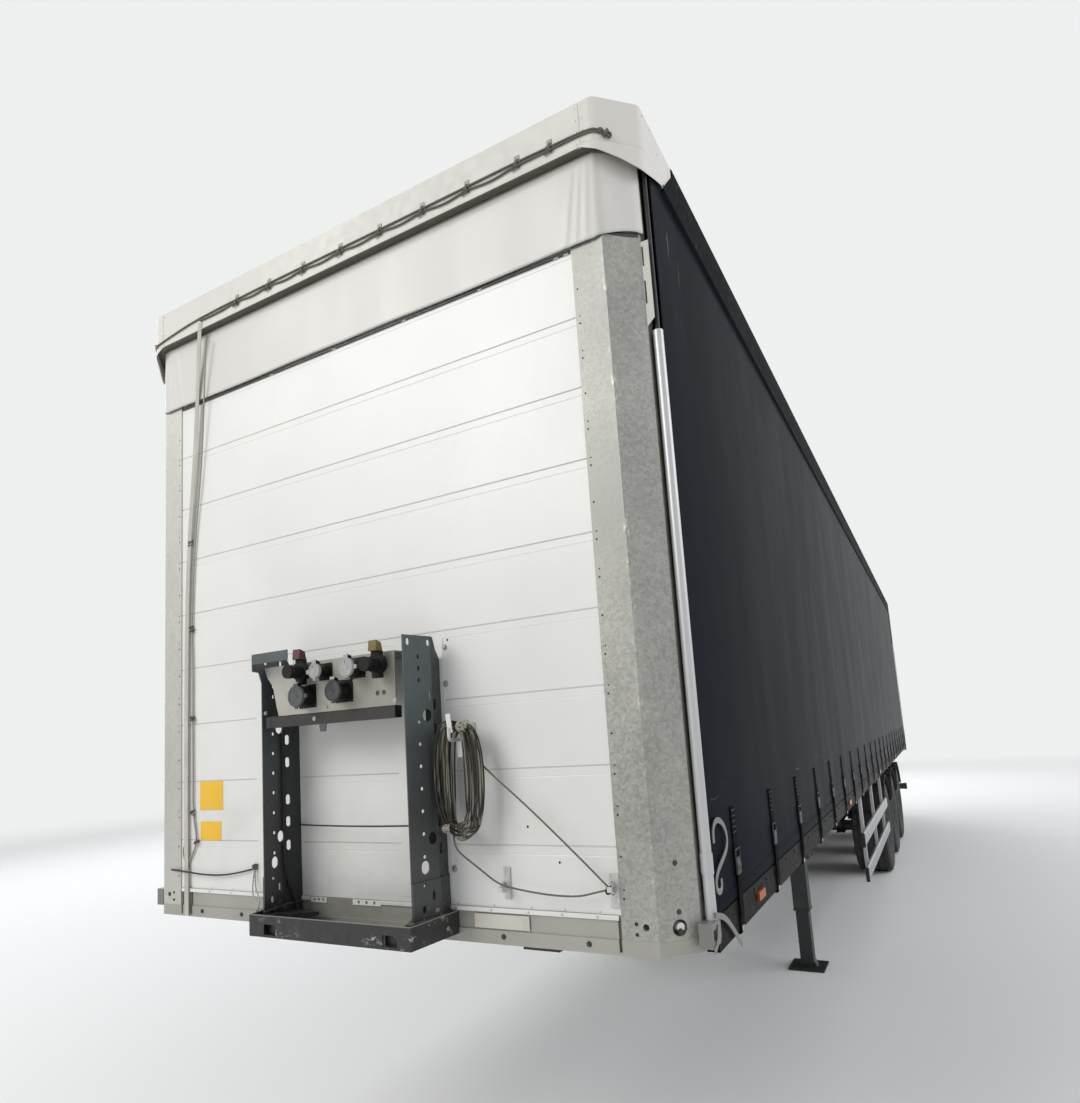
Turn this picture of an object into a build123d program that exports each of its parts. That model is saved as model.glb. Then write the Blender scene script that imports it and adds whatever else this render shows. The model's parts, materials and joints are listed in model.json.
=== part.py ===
"""A three-axle curtain-sided semi trailer, standing on its landing legs.

Millimetres. +X points forward, +Y to the trailer's left, +Z up; the origin is on the ground under the
middle of the whole trailer. Heights are above the ground. A reach is a distance forward of the front
wall's face, and is negative behind it.
"""

import math
import os
from collections import namedtuple

from build123d import *

os.makedirs("parts", exist_ok=True)

# Body
BODY_LENGTH = 13600
BODY_WIDTH = 2550
ROOF_HEIGHT = 4000
FLOOR_HEIGHT = 1350
FLOOR_THICKNESS = 28
FLOOR_HALF_WIDTH = 1232
SEAT_GAP = 0.3

# Rear doors and their hinges
DOOR_THICKNESS = 28
DOOR_SEAL = 5
DOOR_GROOVE = 3
DOOR_FRAME = 60
DOOR_PANELS = 6
HINGE_REACH = 55
HINGE_PIN_RADIUS = 9
HINGE_BARREL_RADIUS = 13
HINGE_INSET = 14
DOOR_CLEARANCE = 6
DOOR_EDGE_CLEARANCE = 5
HINGE_LUG = 16
DOOR_TOP_DROP = 60
DOOR_BOTTOM_DROP = 60
HINGES_PER_DOOR = 4
HINGE_HEIGHT = 90
LOCK_BAR_RADIUS = 13
LOCK_BAR_YS = (300, 780)

# Connection console on the front wall
CONSOLE_DEPTH = 190
CONSOLE_EAR = 241
CONSOLE_SHIFT = 45
CONSOLE_FRONT_HALF = 334
CONSOLE_FOLD_HALF = 358
CONSOLE_BACK_HALF = 343
CONSOLE_FOLD_DEPTH = 72
CONSOLE_SHEET = 4
CONSOLE_TOP = 2263
DOUBLER_TOP = 1455
CROSSBAR_BOTTOM = 1990
CROSSBAR_HEIGHT = 41
CROSSBAR_DEPTH = 36
CROSSBAR_GAP = 50
PANEL_REACH = 176
PANEL_TOP = 2215
SILL_REACH = 235
SILL_HEIGHT = 74
SILL_BOTTOM = 1262
SILL_HALF = 362
SILL_FLARE = 20
SILL_SHEET = 5
SILL_NOTCH = 58
SILL_NOTCH_YS = (-215, 322)
BACKING_SHEET = 2
CONSOLE_BACK = 2.6
CROSSBAR_REACH = 140
HOLE_REACH = 22
PANEL_ENDS = (338, -285)
SOCKET_DEPTH = 50

# The whole trailer is centred between the console's sill and the door hinges
REAR_REACH = DOOR_SEAL + DOOR_THICKNESS + HINGE_REACH + HINGE_BARREL_RADIUS
WALL_X = (BODY_LENGTH + REAR_REACH - SILL_REACH) / 2
REAR_X = WALL_X - BODY_LENGTH

# Front wall
BEAM_BOTTOM = 1237
BEAM_LIP_HEIGHT = 44
BEAM_DEPTH = 150
PLANK_PITCH = 246
BAND_LEAST = 300
BOTTOM_PLANK = 200
PLANK_THICKNESS = 24
PLANK_GAP = 1.5
PLANK_EDGE = 2
PLANK_BEAD = 28
PLANK_OVERLAP = 30
POST_INNER = 1018
POST_FRONT = 1132
POST_OUTER = 1230
CHAMFER_DEPTH = 98
POST_SHEET = 4
POST_RETURN = 40
STRAP_SLOTS = (-1009, -949, 1009)
HOOK_HOLE_Y = 1094
HOOK_HOLE_Z = 1322
FOOT_HOLE_RADIUS = 24
FOOT_HOLE_Z = 1315
LATCH_DROP = 277
LATCH_SLOTS = ((223, 141), (88, 18))
LATCH_WIDTH = 26
BAND_CLEARANCE = 8
BAND_THICKNESS = 3
CAP_OVERHANG = 45
CAP_HEIGHT = 170
CAP_SHEET = 6
CAP_CORNER = 40
CAP_SKIRT_BACK = 288
CAP_TOP_BACK = 413
CAP_FLAP_RISE = 6
CAP_FLAP_DROP = 36
CAP_LEDGE = 18
CAP_LEDGE_WIDTH = 60

# Roof, curtains and raves
RAIL_WIDTH = 60
RAIL_HEIGHT = 185
RAIL_LIP = 12
ROOF_SHEET = 4
ROOF_BOW_PITCH = 680
ROOF_BOW_SIZE = 35
CURTAIN_THICKNESS = 3
CURTAIN_INSET = 8
CURTAIN_BOTTOM = 1330
TUBE_RADIUS = 17
TUBE_SETBACK = 120
TUBE_FOOT = 1325
TUBE_DROP = 39
BRACKET_BOTTOM = 1255
TUBE_ROD_RADIUS = 8
RAVE_HEIGHT = 100
RAVE_WIDTH = 40
RAVE_INSET = 12
RAVE_SHEET = 6
STRAP_PITCH = 620
STRAP_WIDTH = 48
STRAP_THICKNESS = 3
STRAP_TOP = 1620
BUCKLE_BOTTOM = 1400
BUCKLE_HEIGHT = 90
BUCKLE_WIDTH = 64
SIDE_LAMPS = 5
LOOSE_WIDTH = 26
LOOSE_THICKNESS = 2.4
LOOSE_INSET = 2.7

# Chassis
BEAM_HALF_TRACK = 650
BEAM_FLANGE_WIDTH = 140
BEAM_FLANGE = 12
BEAM_WEB = 8
NECK_BOTTOM = 1180
FRAME_BOTTOM = 920
NECK_END = 3200
NECK_SLOPE_END = 3900
CROSS_PITCH = 640
CROSS_HEIGHT = 80
CROSS_SHEET = 6
CROSS_FLANGE = 50
OUTRIGGER_TIP = 60
OUTRIGGER_ROOT = 122
KINGPIN_SETBACK = 1650
KINGPIN_RADIUS = 25.4
KINGPIN_COLLAR = 36.5
KINGPIN_FOOT = 35.7
KINGPIN_LENGTH = 84
COUPLING_SHEET = 10
COUPLING_HALF_WIDTH = 720
COUPLING_FRONT = 650
COUPLING_REAR = 2500
TANK_RADIUS = 140
TANK_HALF_LENGTH = 560

# Axles and wheels
KINGPIN_TO_AXLE = 7650
AXLE_PITCH = 1310
TYRE_RADIUS = 536
TYRE_WIDTH = 385
RIM_RADIUS = 285.75
RIM_SHEET = 14
TRACK_HALF = 1020
AXLE_RADIUS = 63.5
SPINDLE_RADIUS = 45
SPINDLE_CLEARANCE = 0.3
HUB_RADIUS = 110
HAND_HOLES = 10
HAND_HOLE_RADIUS = 27
GUARD_CLEARANCE = 60
GUARD_SHEET = 6
GUARD_MARGIN = 30

# Suspension
ARM_HEIGHT = 60
ARM_WIDTH = 100
ARM_FRONT = 520
ARM_REAR = 420
BELLOWS_RADIUS = 145
BELLOWS_SETBACK = 330
HANGER_PLATE = 12
CHAMBER_RADIUS = 85
CHAMBER_LENGTH = 170

# Landing legs, guards, bumper
LEG_SETBACK = 4050
LEG_HALF_TRACK = 800
LEG_TUBE = 116
LEG_INNER = 96
LEG_JOINT = 430
FOOT_SIZE = 260
BUMPER_HEIGHT = 100
BUMPER_BOTTOM = 470
BUMPER_SETBACK = 125
BUMPER_HALF_WIDTH = 1200
GUARD_RAIL_HEIGHT = 110
GUARD_RAIL_DEPTH = 25
GUARD_RAILS = (560, 830)
GUARD_POSTS = (4800, 5900, 7000)

# Rear portal
PORTAL_DEPTH = 120
PORTAL_POST = 95
PORTAL_HEADER = 130
PORTAL_SILL = 140

HALF_WIDTH = BODY_WIDTH / 2
FLOOR_BOTTOM = FLOOR_HEIGHT - FLOOR_THICKNESS
CAP_BOTTOM = ROOF_HEIGHT - CAP_HEIGHT
PLANK_ROWS = int((CAP_BOTTOM - BAND_LEAST - FLOOR_HEIGHT - BOTTOM_PLANK) / PLANK_PITCH)
PLANKS_TOP = FLOOR_HEIGHT + BOTTOM_PLANK + PLANK_ROWS * PLANK_PITCH
LATCH_BOTTOM = PLANKS_TOP - LATCH_DROP
TUBE_TOP = LATCH_BOTTOM - TUBE_DROP
CAP_FLAP_FOOT = CAP_BOTTOM + CAP_FLAP_RISE
CAP_FLAP_TOP = ROOF_HEIGHT - CAP_FLAP_DROP
KINGPIN_X = WALL_X - KINGPIN_SETBACK
AXLE_XS = [KINGPIN_X - KINGPIN_TO_AXLE + AXLE_PITCH * step for step in (1, 0, -1)]
SIDES = {"left": 1, "right": -1}
BODY_FRONT = WALL_X - BEAM_DEPTH
PORTAL_FRONT = REAR_X + PORTAL_DEPTH
ROOF_FRONT = WALL_X - CAP_TOP_BACK
RAIL_TOP = ROOF_HEIGHT - ROOF_SHEET
RAIL_BOTTOM = RAIL_TOP - RAIL_HEIGHT
REAR_TUBE_X = PORTAL_FRONT + 1.5 * TUBE_RADIUS
FRONT_TUBE_X = WALL_X - TUBE_SETBACK
BEAM_LIP_TOP = BEAM_BOTTOM + BEAM_LIP_HEIGHT
DOOR_INNER_X = REAR_X - DOOR_SEAL
DOOR_OUTER_X = DOOR_INNER_X - DOOR_THICKNESS
PIN_X = DOOR_OUTER_X - HINGE_REACH
PIN_Y = HALF_WIDTH - HINGE_INSET
DOOR_EDGE = HALF_WIDTH - HINGE_LUG - DOOR_EDGE_CLEARANCE
DOOR_BOTTOM = FLOOR_HEIGHT - DOOR_BOTTOM_DROP
DOOR_TOP = ROOF_HEIGHT - DOOR_TOP_DROP
PORTAL_BOTTOM = FLOOR_BOTTOM - PORTAL_SILL

# Round and oblong holes in both console plates: reach, height, width and length upwards
Hole = namedtuple("Hole", "reach height width tall")
PLATE_HOLES = [
    Hole(168, 2240, 14, 24),
    Hole(80, 2240, 14, 22),
    Hole(127, 2190, 9, 16),
    Hole(127, 2150, 9, 16),
    Hole(127, 2110, 9, 16),
    Hole(80, 2060, 10, 28),
    Hole(96, 1991, 38, 42),
    Hole(95, 1586, 34, 40),
    Hole(130, 1497, 34, 42),
    Hole(139, 1441, 13, 13),
] + [Hole(131, 1969 - 73 * step, 13, 13) for step in range(7)] + [
    Hole(55, height, 18, 38) for height in (2029, 1945, 1859, 1718, 1636, 1548)
]
DOUBLER_HOLES = [
    Hole(148, 1318, 22, 28),
    Hole(104, 1405, 11, 30),
    Hole(146, 1368, 14, 24),
]

# Sockets and their lids on the console: place across, height and radius
Socket = namedtuple("Socket", "across height radius hinge")
SOCKETS = [
    Socket(-63, 2091, 38, 1),
    Socket(28, 2172, 27, -1),
    Socket(112, 2096, 36, 0),
    Socket(176, 2171, 32, 1),
]
GLADHANDS = {"red": (-60, 2180), "yellow": (292, 2172)}

# Loose webbing beside the near front corner, along reaches and heights
LOOSE_STRAPS = [
    [(-152, 1541), (-150, 1590), (-215, 1612), (-300, 1570), (-312, 1513), (-240, 1480), (-165, 1458),
     (-132, 1425), (-150, 1392), (-200, 1396), (-196, 1428)],
    [(-98, 1341), (-168, 1326), (-240, 1291), (-368, 1189)],
    [(-118, 1310), (-98, 1262), (-58, 1250)],
]

# Cords, webbing and the cable coil on the front wall
CORD_RADIUS = 4.5
ROPE_RADIUS = 3.5
CABLE_RADIUS = 3
WEBBING = 26
WEBBING_THICKNESS = 2.5
COIL_REACH = 80
COIL_MIDDLE = 511
COIL_TOP_CENTRE = 1887
COIL_BOTTOM_CENTRE = 1667
COIL_OUTER = 100
COIL_INNER = 22
COIL_DEPTH = 64
HOOK_RADIUS = 6

# Eyes on the cap and on the wall: place across and height
CAP_EYES = [(across, CAP_BOTTOM + 68) for across in (-582, -379, -179, 29, 234, 442, 645, 856, 985)]
WALL_EYES = [(-950, 2857), (-944, 2464), (-935, 2065), (-936, 1664), (-553, 1447)]
CORNER_RING = (35, 1003, 1433)
LOWER_RING = (46, 626, 1422)
RING_HALF = 8
UPPER_MIDDLE = (PLANKS_TOP + WALL_EYES[0][1]) / 2

# Routes in reach, place across and height
CAP_FACE = CAP_OVERHANG + CORD_RADIUS + SEAT_GAP
CAP_CORD_UPPER = [
    (CAP_FACE - 69.8, -1220.8, CAP_BOTTOM + 14),
    (CAP_FACE - 6.8, -1157.8, CAP_BOTTOM + 19),
    (CAP_FACE, -1141.3, CAP_BOTTOM + 20.5),
    (CAP_FACE, -990, CAP_BOTTOM + 42),
    (CAP_FACE, -826, CAP_BOTTOM + 58),
    (CAP_FACE, -379, CAP_BOTTOM + 62),
    (CAP_FACE, 29, CAP_BOTTOM + 59),
    (CAP_FACE, 442, CAP_BOTTOM + 57),
    (CAP_FACE, 856, CAP_BOTTOM + 59),
    (CAP_FACE, 1092, CAP_BOTTOM + 55),
    (CAP_FACE, 1141.3, CAP_BOTTOM + 49),
    (CAP_FACE - 6.8, 1157.8, CAP_BOTTOM + 46),
    (CAP_FACE - 45, 1196, CAP_BOTTOM + 40),
]
CAP_CORD_LOWER = [
    (CAP_FACE, -826, CAP_BOTTOM + 43),
    (CAP_FACE, -704, CAP_BOTTOM + 32),
    (CAP_FACE, -582, CAP_BOTTOM + 42),
    (CAP_FACE, -480, CAP_BOTTOM + 30),
    (CAP_FACE, -379, CAP_BOTTOM + 40),
    (CAP_FACE, -280, CAP_BOTTOM + 28),
    (CAP_FACE, -179, CAP_BOTTOM + 38),
    (CAP_FACE, -75, CAP_BOTTOM + 26),
    (CAP_FACE, 29, CAP_BOTTOM + 37),
    (CAP_FACE, 132, CAP_BOTTOM + 25),
    (CAP_FACE, 234, CAP_BOTTOM + 36),
    (CAP_FACE, 338, CAP_BOTTOM + 24),
    (CAP_FACE, 442, CAP_BOTTOM + 35),
    (CAP_FACE, 544, CAP_BOTTOM + 22),
    (CAP_FACE, 645, CAP_BOTTOM + 33),
    (CAP_FACE, 750, CAP_BOTTOM + 23),
    (CAP_FACE, 856, CAP_BOTTOM + 36),
    (CAP_FACE, 985, CAP_BOTTOM + 33),
    (CAP_FACE, 1092, CAP_BOTTOM + 37),
    (CAP_FACE, 1141.3, CAP_BOTTOM + 31),
    (CAP_FACE - 6.8, 1157.8, CAP_BOTTOM + 28),
    (CAP_FACE - 45, 1196, CAP_BOTTOM + 22),
]
STRAP_SEAT = SEAT_GAP + WEBBING_THICKNESS / 2
TIE_STRAP = [
    (CAP_OVERHANG + STRAP_SEAT, -826, CAP_BOTTOM + 37),
    (CAP_OVERHANG + STRAP_SEAT, -835, CAP_BOTTOM - 4),
    (17, -888, PLANKS_TOP + 1),
    (17, -911, UPPER_MIDDLE),
    (12, -956, 2857),
    (12, -970, 2464),
    (12, -973, 2065),
    (12, -975, 1664),
    (12, -972, 1475),
    (12, -971, 1421),
    (12, -969, 1240),
]
TIE_ROPE = [
    (44, -793, CAP_BOTTOM - 44),
    (22, -836, PLANKS_TOP - 8),
    (12, -869, UPPER_MIDDLE),
    (7, -922, 2853),
    (6.5, -944, 2464),
    (7, -934, 2302),
    (6.5, -937, 2061),
    (7, -934, 1833),
    (6.5, -936, 1664),
    (7, -905, 1543),
    (6.5, -952, 1475),
    (6.5, -976, 1440),
]
RUBBER_CORD = [
    (7.8, -1076, 1425),
    (19, -972, 1423),
    (17.5, -860, 1413.5),
    (15, -738, 1413),
    (12, -609, 1432),
    (6.5, -552, 1446),
]
CROSS_CORD = [
    (10, -299, 1617),
    (90, 45, 1619),
    (174, 381.3, 1636),
]
CORNER_CORD_UPPER = [
    (80, 596, 1868),
    (57, 806, 1634),
    (35, 1003, 1433),
]
CORNER_CORD_LOWER = [
    (80, 466, 1588),
    (76, 476, 1550),
    (70, 515, 1518),
    (60, 560, 1483),
    (52, 603, 1449),
    (46, 632, 1433),
    (44, 690, 1422),
    (42, 773, 1411.5),
    (40, 840, 1407.5),
    (38, 905, 1409),
    (36, 960, 1424),
    (35, 1003, 1433),
]


# Shapes
def block(x, y, z):
    """A box between three pairs of limits."""
    size = [abs(limits[1] - limits[0]) for limits in (x, y, z)]
    middle = [(limits[0] + limits[1]) / 2 for limits in (x, y, z)]
    return Pos(*middle) * Box(*size)


def rod(start, end, radius):
    """A round bar between two points."""
    start = Vector(*start)
    along = Vector(*end) - start
    plane = Plane(origin=start, z_dir=along.normalized())
    return extrude(plane * Circle(radius), along.length)


def outline(points, rounding=0):
    """A flat face in XY with straight sides and, where a rounding is given, round corners."""
    if rounding:
        return make_face(FilletPolyline(*points, radius=rounding, close=True))
    return make_face(Polyline(*points, close=True))


def upright(points, bottom, top):
    """A prism over an outline in plan."""
    return Pos(0, 0, bottom) * extrude(outline(points), top - bottom)


def lengthwise(points, x_start, x_end, rounding=0):
    """A prism along X over an outline of (y, z) points."""
    plane = Plane(origin=(x_start, 0, 0), x_dir=(0, 1, 0), z_dir=(1, 0, 0))
    return extrude(plane * outline(points, rounding), x_end - x_start)


def crosswise(points, y_start, y_end, rounding=0):
    """A prism along Y over an outline of (x, z) points."""
    plane = Plane(origin=(0, y_start, 0), x_dir=(1, 0, 0), z_dir=(0, -1, 0))
    return extrude(plane * outline(points, rounding), -(y_end - y_start))


def offset_path(points, distance):
    """The points of an open path moved to the left of its direction, with mitred corners."""
    moved = []
    for index, (x, y) in enumerate(points):
        normals = []
        for a, b in ((index - 1, index), (index, index + 1)):
            if a < 0 or b >= len(points):
                continue
            dx, dy = points[b][0] - points[a][0], points[b][1] - points[a][1]
            length = math.hypot(dx, dy)
            normals.append((-dy / length, dx / length))
        nx = sum(n[0] for n in normals) / len(normals)
        ny = sum(n[1] for n in normals) / len(normals)
        stretch = distance / (nx * nx + ny * ny)
        moved.append((x + nx * stretch, y + ny * stretch))
    return moved


def sheet(points, thickness):
    """The outline of a folded sheet: a path and the same path moved to its left."""
    return points + offset_path(points, thickness)[::-1]


def bent_path(points, share=0.45):
    """Straight runs joined by arcs as large as their runs allow, with the smallest radius."""
    radii = []
    for a, b, c in zip(points, points[1:], points[2:]):
        before, after = Vector(*b) - Vector(*a), Vector(*c) - Vector(*b)
        turn = math.radians(before.get_angle(after))
        radii.append(share * min(before.length, after.length) / math.tan(turn / 2))
    return FilletPolyline(*points, radius=radii), min(radii)


def cord(name, points, radius):
    """A cord: a plain tube along its route."""
    path, tightest = bent_path(points)
    tube = sweep(Plane(origin=path @ 0, z_dir=path % 0) * Circle(radius), path)
    print(f"{name}: {path.length:.0f} long, tightest radius {tightest:.0f}, volume ratio "
          f"{tube.volume / (path.length * math.pi * radius * radius):.3f}")
    return tube


def save(name, solids):
    """Writes one node, made of one or more solids, to its file."""
    pieces = solids if isinstance(solids, list) else [solids]
    flat = [solid for piece in pieces for solid in piece.solids()]
    shape = flat[0] if len(flat) == 1 else Compound(children=flat)
    shape.label = name
    export_step(shape, f"parts/{name}.step")


# Front wall: planks between folded corner posts, on a bent front beam
def front_plan(reach, back):
    """Half of the front's outline in plan, from the middle to the left side, at a reach from the posts."""
    front = WALL_X + POST_SHEET
    half = [
        (front, 0),
        (front, POST_FRONT),
        (front - CHAMFER_DEPTH, POST_OUTER),
        (WALL_X - back, POST_OUTER),
    ]
    return offset_path(half, -reach)


def both_sides(half):
    """A half outline joined to its mirror image, from the right side to the left."""
    return [(x, -y) for x, y in half[:0:-1]] + half[1:]


def plank(low, high):
    """One wall plank with bevelled edges and a bead just under its upper edge."""
    back = WALL_X - PLANK_THICKNESS
    bead = high - PLANK_BEAD
    profile = [
        (back, low),
        (WALL_X - PLANK_EDGE, low),
        (WALL_X, low + PLANK_EDGE),
        (WALL_X, bead - PLANK_EDGE),
        (WALL_X - PLANK_EDGE / 2, bead),
        (WALL_X, bead + PLANK_EDGE),
        (WALL_X, high - PLANK_EDGE),
        (WALL_X - PLANK_EDGE, high),
        (back, high),
    ]
    half = POST_INNER + PLANK_OVERLAP
    return crosswise(profile, -half, half)


def planks():
    made = [plank(FLOOR_HEIGHT, FLOOR_HEIGHT + BOTTOM_PLANK)]
    for index in range(PLANK_ROWS):
        low = FLOOR_HEIGHT + BOTTOM_PLANK + index * PLANK_PITCH
        made.append(plank(low + PLANK_GAP, low + PLANK_PITCH))
    half = POST_INNER + PLANK_OVERLAP
    made.append(block((WALL_X - 60, WALL_X - 5), (-half, half), (PLANKS_TOP + SEAT_GAP, CAP_BOTTOM - 10)))
    for low, high in ((-542, -324), (192, 410)):
        face = (WALL_X + SEAT_GAP, WALL_X + SEAT_GAP + BACKING_SHEET)
        made.append(block(face, (low, high), (FLOOR_HEIGHT + 20, CONSOLE_TOP)))
    return made


def foot_holes(side):
    """Cutters for a post's hook hole and the round hole on its chamfer, which the beam shares."""
    hook = (WALL_X - 30, side * HOOK_HOLE_Y, HOOK_HOLE_Z)
    holes = rod(hook, (WALL_X + 10, side * HOOK_HOLE_Y, HOOK_HOLE_Z), 10)
    x, y = WALL_X + POST_SHEET - CHAMFER_DEPTH / 2, side * (POST_FRONT + POST_OUTER) / 2
    start = (x - 35, y - side * 35, FOOT_HOLE_Z)
    return holes + rod(start, (x + 15, y + side * 15, FOOT_HOLE_Z), FOOT_HOLE_RADIUS)


def front_post(side):
    """A folded post with a latch flange on its outer edge and holes near its foot."""
    path = [(WALL_X, POST_INNER)] + front_plan(-POST_SHEET, BEAM_DEPTH - SEAT_GAP - POST_SHEET)[1:]
    back, flank = path[-1]
    path.append((back, flank - POST_RETURN))
    bottom = BEAM_LIP_TOP + SEAT_GAP
    post = upright([(x, side * y) for x, y in sheet(path, -POST_SHEET)], bottom, CAP_BOTTOM)
    notch = (side * (flank - POST_RETURN - 1), side * flank)
    post -= block((back - 2 * POST_SHEET, back + 1), notch, (bottom - 1, FLOOR_HEIGHT + SEAT_GAP))
    rear = WALL_X + POST_SHEET - CHAMFER_DEPTH
    tongue = [
        (side * (POST_OUTER - POST_SHEET), LATCH_BOTTOM - 30),
        (side * (POST_OUTER + LATCH_WIDTH), LATCH_BOTTOM),
        (side * (POST_OUTER + LATCH_WIDTH), PLANKS_TOP - SEAT_GAP),
        (side * (POST_OUTER - POST_SHEET), PLANKS_TOP - SEAT_GAP),
    ]
    post += lengthwise(tongue, rear - POST_SHEET, rear)
    for foot, head in LATCH_SLOTS:
        slot = (side * (POST_OUTER + 1), side * (POST_OUTER + 7))
        post -= block((rear - POST_SHEET - 1, rear + 1), slot, (PLANKS_TOP - foot, PLANKS_TOP - head))
    return post - foot_holes(side)


def front_beam():
    """A bent beam with a lower lip, a pocket behind each post's round hole, and strap slots."""
    lip = both_sides(front_plan(0, BEAM_DEPTH))
    upper = both_sides(front_plan(-POST_SHEET - SEAT_GAP, BEAM_DEPTH))
    beam = upright(lip, BEAM_BOTTOM, BEAM_LIP_TOP)
    beam += upright(upper, BEAM_LIP_TOP, FLOOR_HEIGHT)
    for side in SIDES.values():
        beam -= foot_holes(side)
    for across in STRAP_SLOTS:
        slot = (across - 5, across + 5)
        beam -= block((WALL_X - 12, WALL_X + 10), slot, (BEAM_BOTTOM + 8, FLOOR_HEIGHT - 6))
    return beam


def fascia():
    path = both_sides(front_plan(BAND_CLEARANCE, TUBE_SETBACK - TUBE_RADIUS - 2))
    return upright(sheet(path, -BAND_THICKNESS), PLANKS_TOP, CAP_BOTTOM - SEAT_GAP)


def rounded_front(inset, bottom, top, radius):
    """A prism over the cap's plan, with its front corners rounded."""
    plan = both_sides(front_plan(CAP_OVERHANG - POST_SHEET - inset, CAP_TOP_BACK))
    prism = upright(plan, bottom, top)
    reach = (WALL_X - CHAMFER_DEPTH, WALL_X + SILL_REACH)
    return fillet(prism.edges().filter_by(Axis.Z).filter_by_position(Axis.X, *reach), radius)


def roof_cap():
    """A moulded cap whose skirt turns the corners and ends in a slanting flap over each roof rail."""
    skirt = rounded_front(0, CAP_BOTTOM, ROOF_HEIGHT, CAP_CORNER)
    skirt -= rounded_front(CAP_SHEET, CAP_BOTTOM - 1, ROOF_HEIGHT - CAP_SHEET, CAP_CORNER - CAP_SHEET)
    back = WALL_X - CAP_TOP_BACK
    flap = [
        (WALL_X - CAP_SKIRT_BACK, CAP_BOTTOM - 1),
        (WALL_X - CAP_SKIRT_BACK, CAP_FLAP_FOOT),
        (back, CAP_FLAP_TOP),
        (back - 1, CAP_FLAP_TOP),
        (back - 1, CAP_BOTTOM - 1),
    ]
    skirt -= crosswise(flap, -BODY_WIDTH, BODY_WIDTH)
    ledge_reach = CAP_OVERHANG - CAP_SHEET - POST_SHEET
    ledge_back = TUBE_SETBACK - TUBE_RADIUS - SEAT_GAP
    ledge = sheet(both_sides(front_plan(ledge_reach, ledge_back)), CAP_LEDGE_WIDTH)
    return skirt + upright(ledge, CAP_BOTTOM, CAP_BOTTOM + CAP_LEDGE)


save("front_wall_planks", planks())
save("front_posts", [front_post(side) for side in SIDES.values()])
save("front_beam", front_beam())
save("front_fascia", fascia())
save("roof_cap", roof_cap())


# Floor, roof and sides
def floor():
    width = (-FLOOR_HALF_WIDTH, FLOOR_HALF_WIDTH)
    return block((PORTAL_FRONT, BODY_FRONT), width, (FLOOR_BOTTOM, FLOOR_HEIGHT))


def side_rave(side):
    """A channel that opens inwards, with a drip lip at its foot."""
    outer = HALF_WIDTH - RAVE_INSET
    inner = outer - RAVE_WIDTH
    top, bottom = FLOOR_BOTTOM, FLOOR_BOTTOM - RAVE_HEIGHT
    path = [(inner, bottom), (outer, bottom), (outer, top), (inner, top)]
    return lengthwise([(side * y, z) for y, z in sheet(path, RAVE_SHEET)], PORTAL_FRONT, BODY_FRONT)


def roof_rail(side):
    """The roof's side rail, cut back under the cap's flap, and its nose inside the cap."""
    inner = HALF_WIDTH - RAIL_WIDTH
    profile = [
        (side * inner, RAIL_TOP),
        (side * HALF_WIDTH, RAIL_TOP),
        (side * HALF_WIDTH, RAIL_BOTTOM + RAIL_LIP),
        (side * (HALF_WIDTH - RAIL_LIP), RAIL_BOTTOM),
        (side * inner, RAIL_BOTTOM),
    ]
    rail = lengthwise(profile, PORTAL_FRONT, WALL_X - CAP_SKIRT_BACK - SEAT_GAP)
    flap = [
        (WALL_X, CAP_FLAP_FOOT),
        (WALL_X - CAP_SKIRT_BACK - SEAT_GAP, CAP_FLAP_FOOT),
        (WALL_X - CAP_TOP_BACK - SEAT_GAP, CAP_FLAP_TOP),
        (WALL_X - CAP_TOP_BACK - SEAT_GAP, ROOF_HEIGHT),
        (WALL_X, ROOF_HEIGHT),
    ]
    under = POST_OUTER + CAP_OVERHANG - POST_SHEET - CAP_SHEET - SEAT_GAP
    rail -= crosswise(flap, side * under, side * BODY_WIDTH)
    lid = (ROOF_HEIGHT - CAP_SHEET - SEAT_GAP, ROOF_HEIGHT)
    rail -= block((ROOF_FRONT - SEAT_GAP, WALL_X), (-BODY_WIDTH, BODY_WIDTH), lid)
    nose = block(
        (WALL_X - CAP_SKIRT_BACK - 1, FRONT_TUBE_X + TUBE_RADIUS),
        (side * (POST_OUTER + SEAT_GAP), side * under),
        (RAIL_BOTTOM, ROOF_HEIGHT - CAP_SHEET - SEAT_GAP),
    )
    return rail + nose


def roof():
    return block((REAR_X, ROOF_FRONT), (-HALF_WIDTH, HALF_WIDTH), (RAIL_TOP, ROOF_HEIGHT))


def roof_bows():
    """Cross tubes under the roof, seated between the rails."""
    half = HALF_WIDTH - RAIL_WIDTH - SEAT_GAP
    first, last = ROOF_FRONT - 200, PORTAL_FRONT + 300
    count = round((first - last) / ROOF_BOW_PITCH)
    top = RAIL_TOP - SEAT_GAP
    made = []
    for index in range(count + 1):
        x = first - (first - last) * index / count
        deep = (x - ROOF_BOW_SIZE / 2, x + ROOF_BOW_SIZE / 2)
        made.append(block(deep, (-half, half), (top - ROOF_BOW_SIZE, top)))
    return made


def curtain(side):
    """A tarpaulin with a thicker hem along its foot."""
    outer = HALF_WIDTH - CURTAIN_INSET
    ends = (REAR_TUBE_X + TUBE_RADIUS + SEAT_GAP, FRONT_TUBE_X - TUBE_RADIUS - SEAT_GAP)
    height = (CURTAIN_BOTTOM, RAIL_BOTTOM - SEAT_GAP)
    panel = block(ends, (side * (outer - CURTAIN_THICKNESS), side * outer), height)
    hem = (side * (outer - CURTAIN_THICKNESS - 2), side * (outer - CURTAIN_THICKNESS))
    return panel + block(ends, hem, (CURTAIN_BOTTOM, CURTAIN_BOTTOM + 40))


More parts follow.
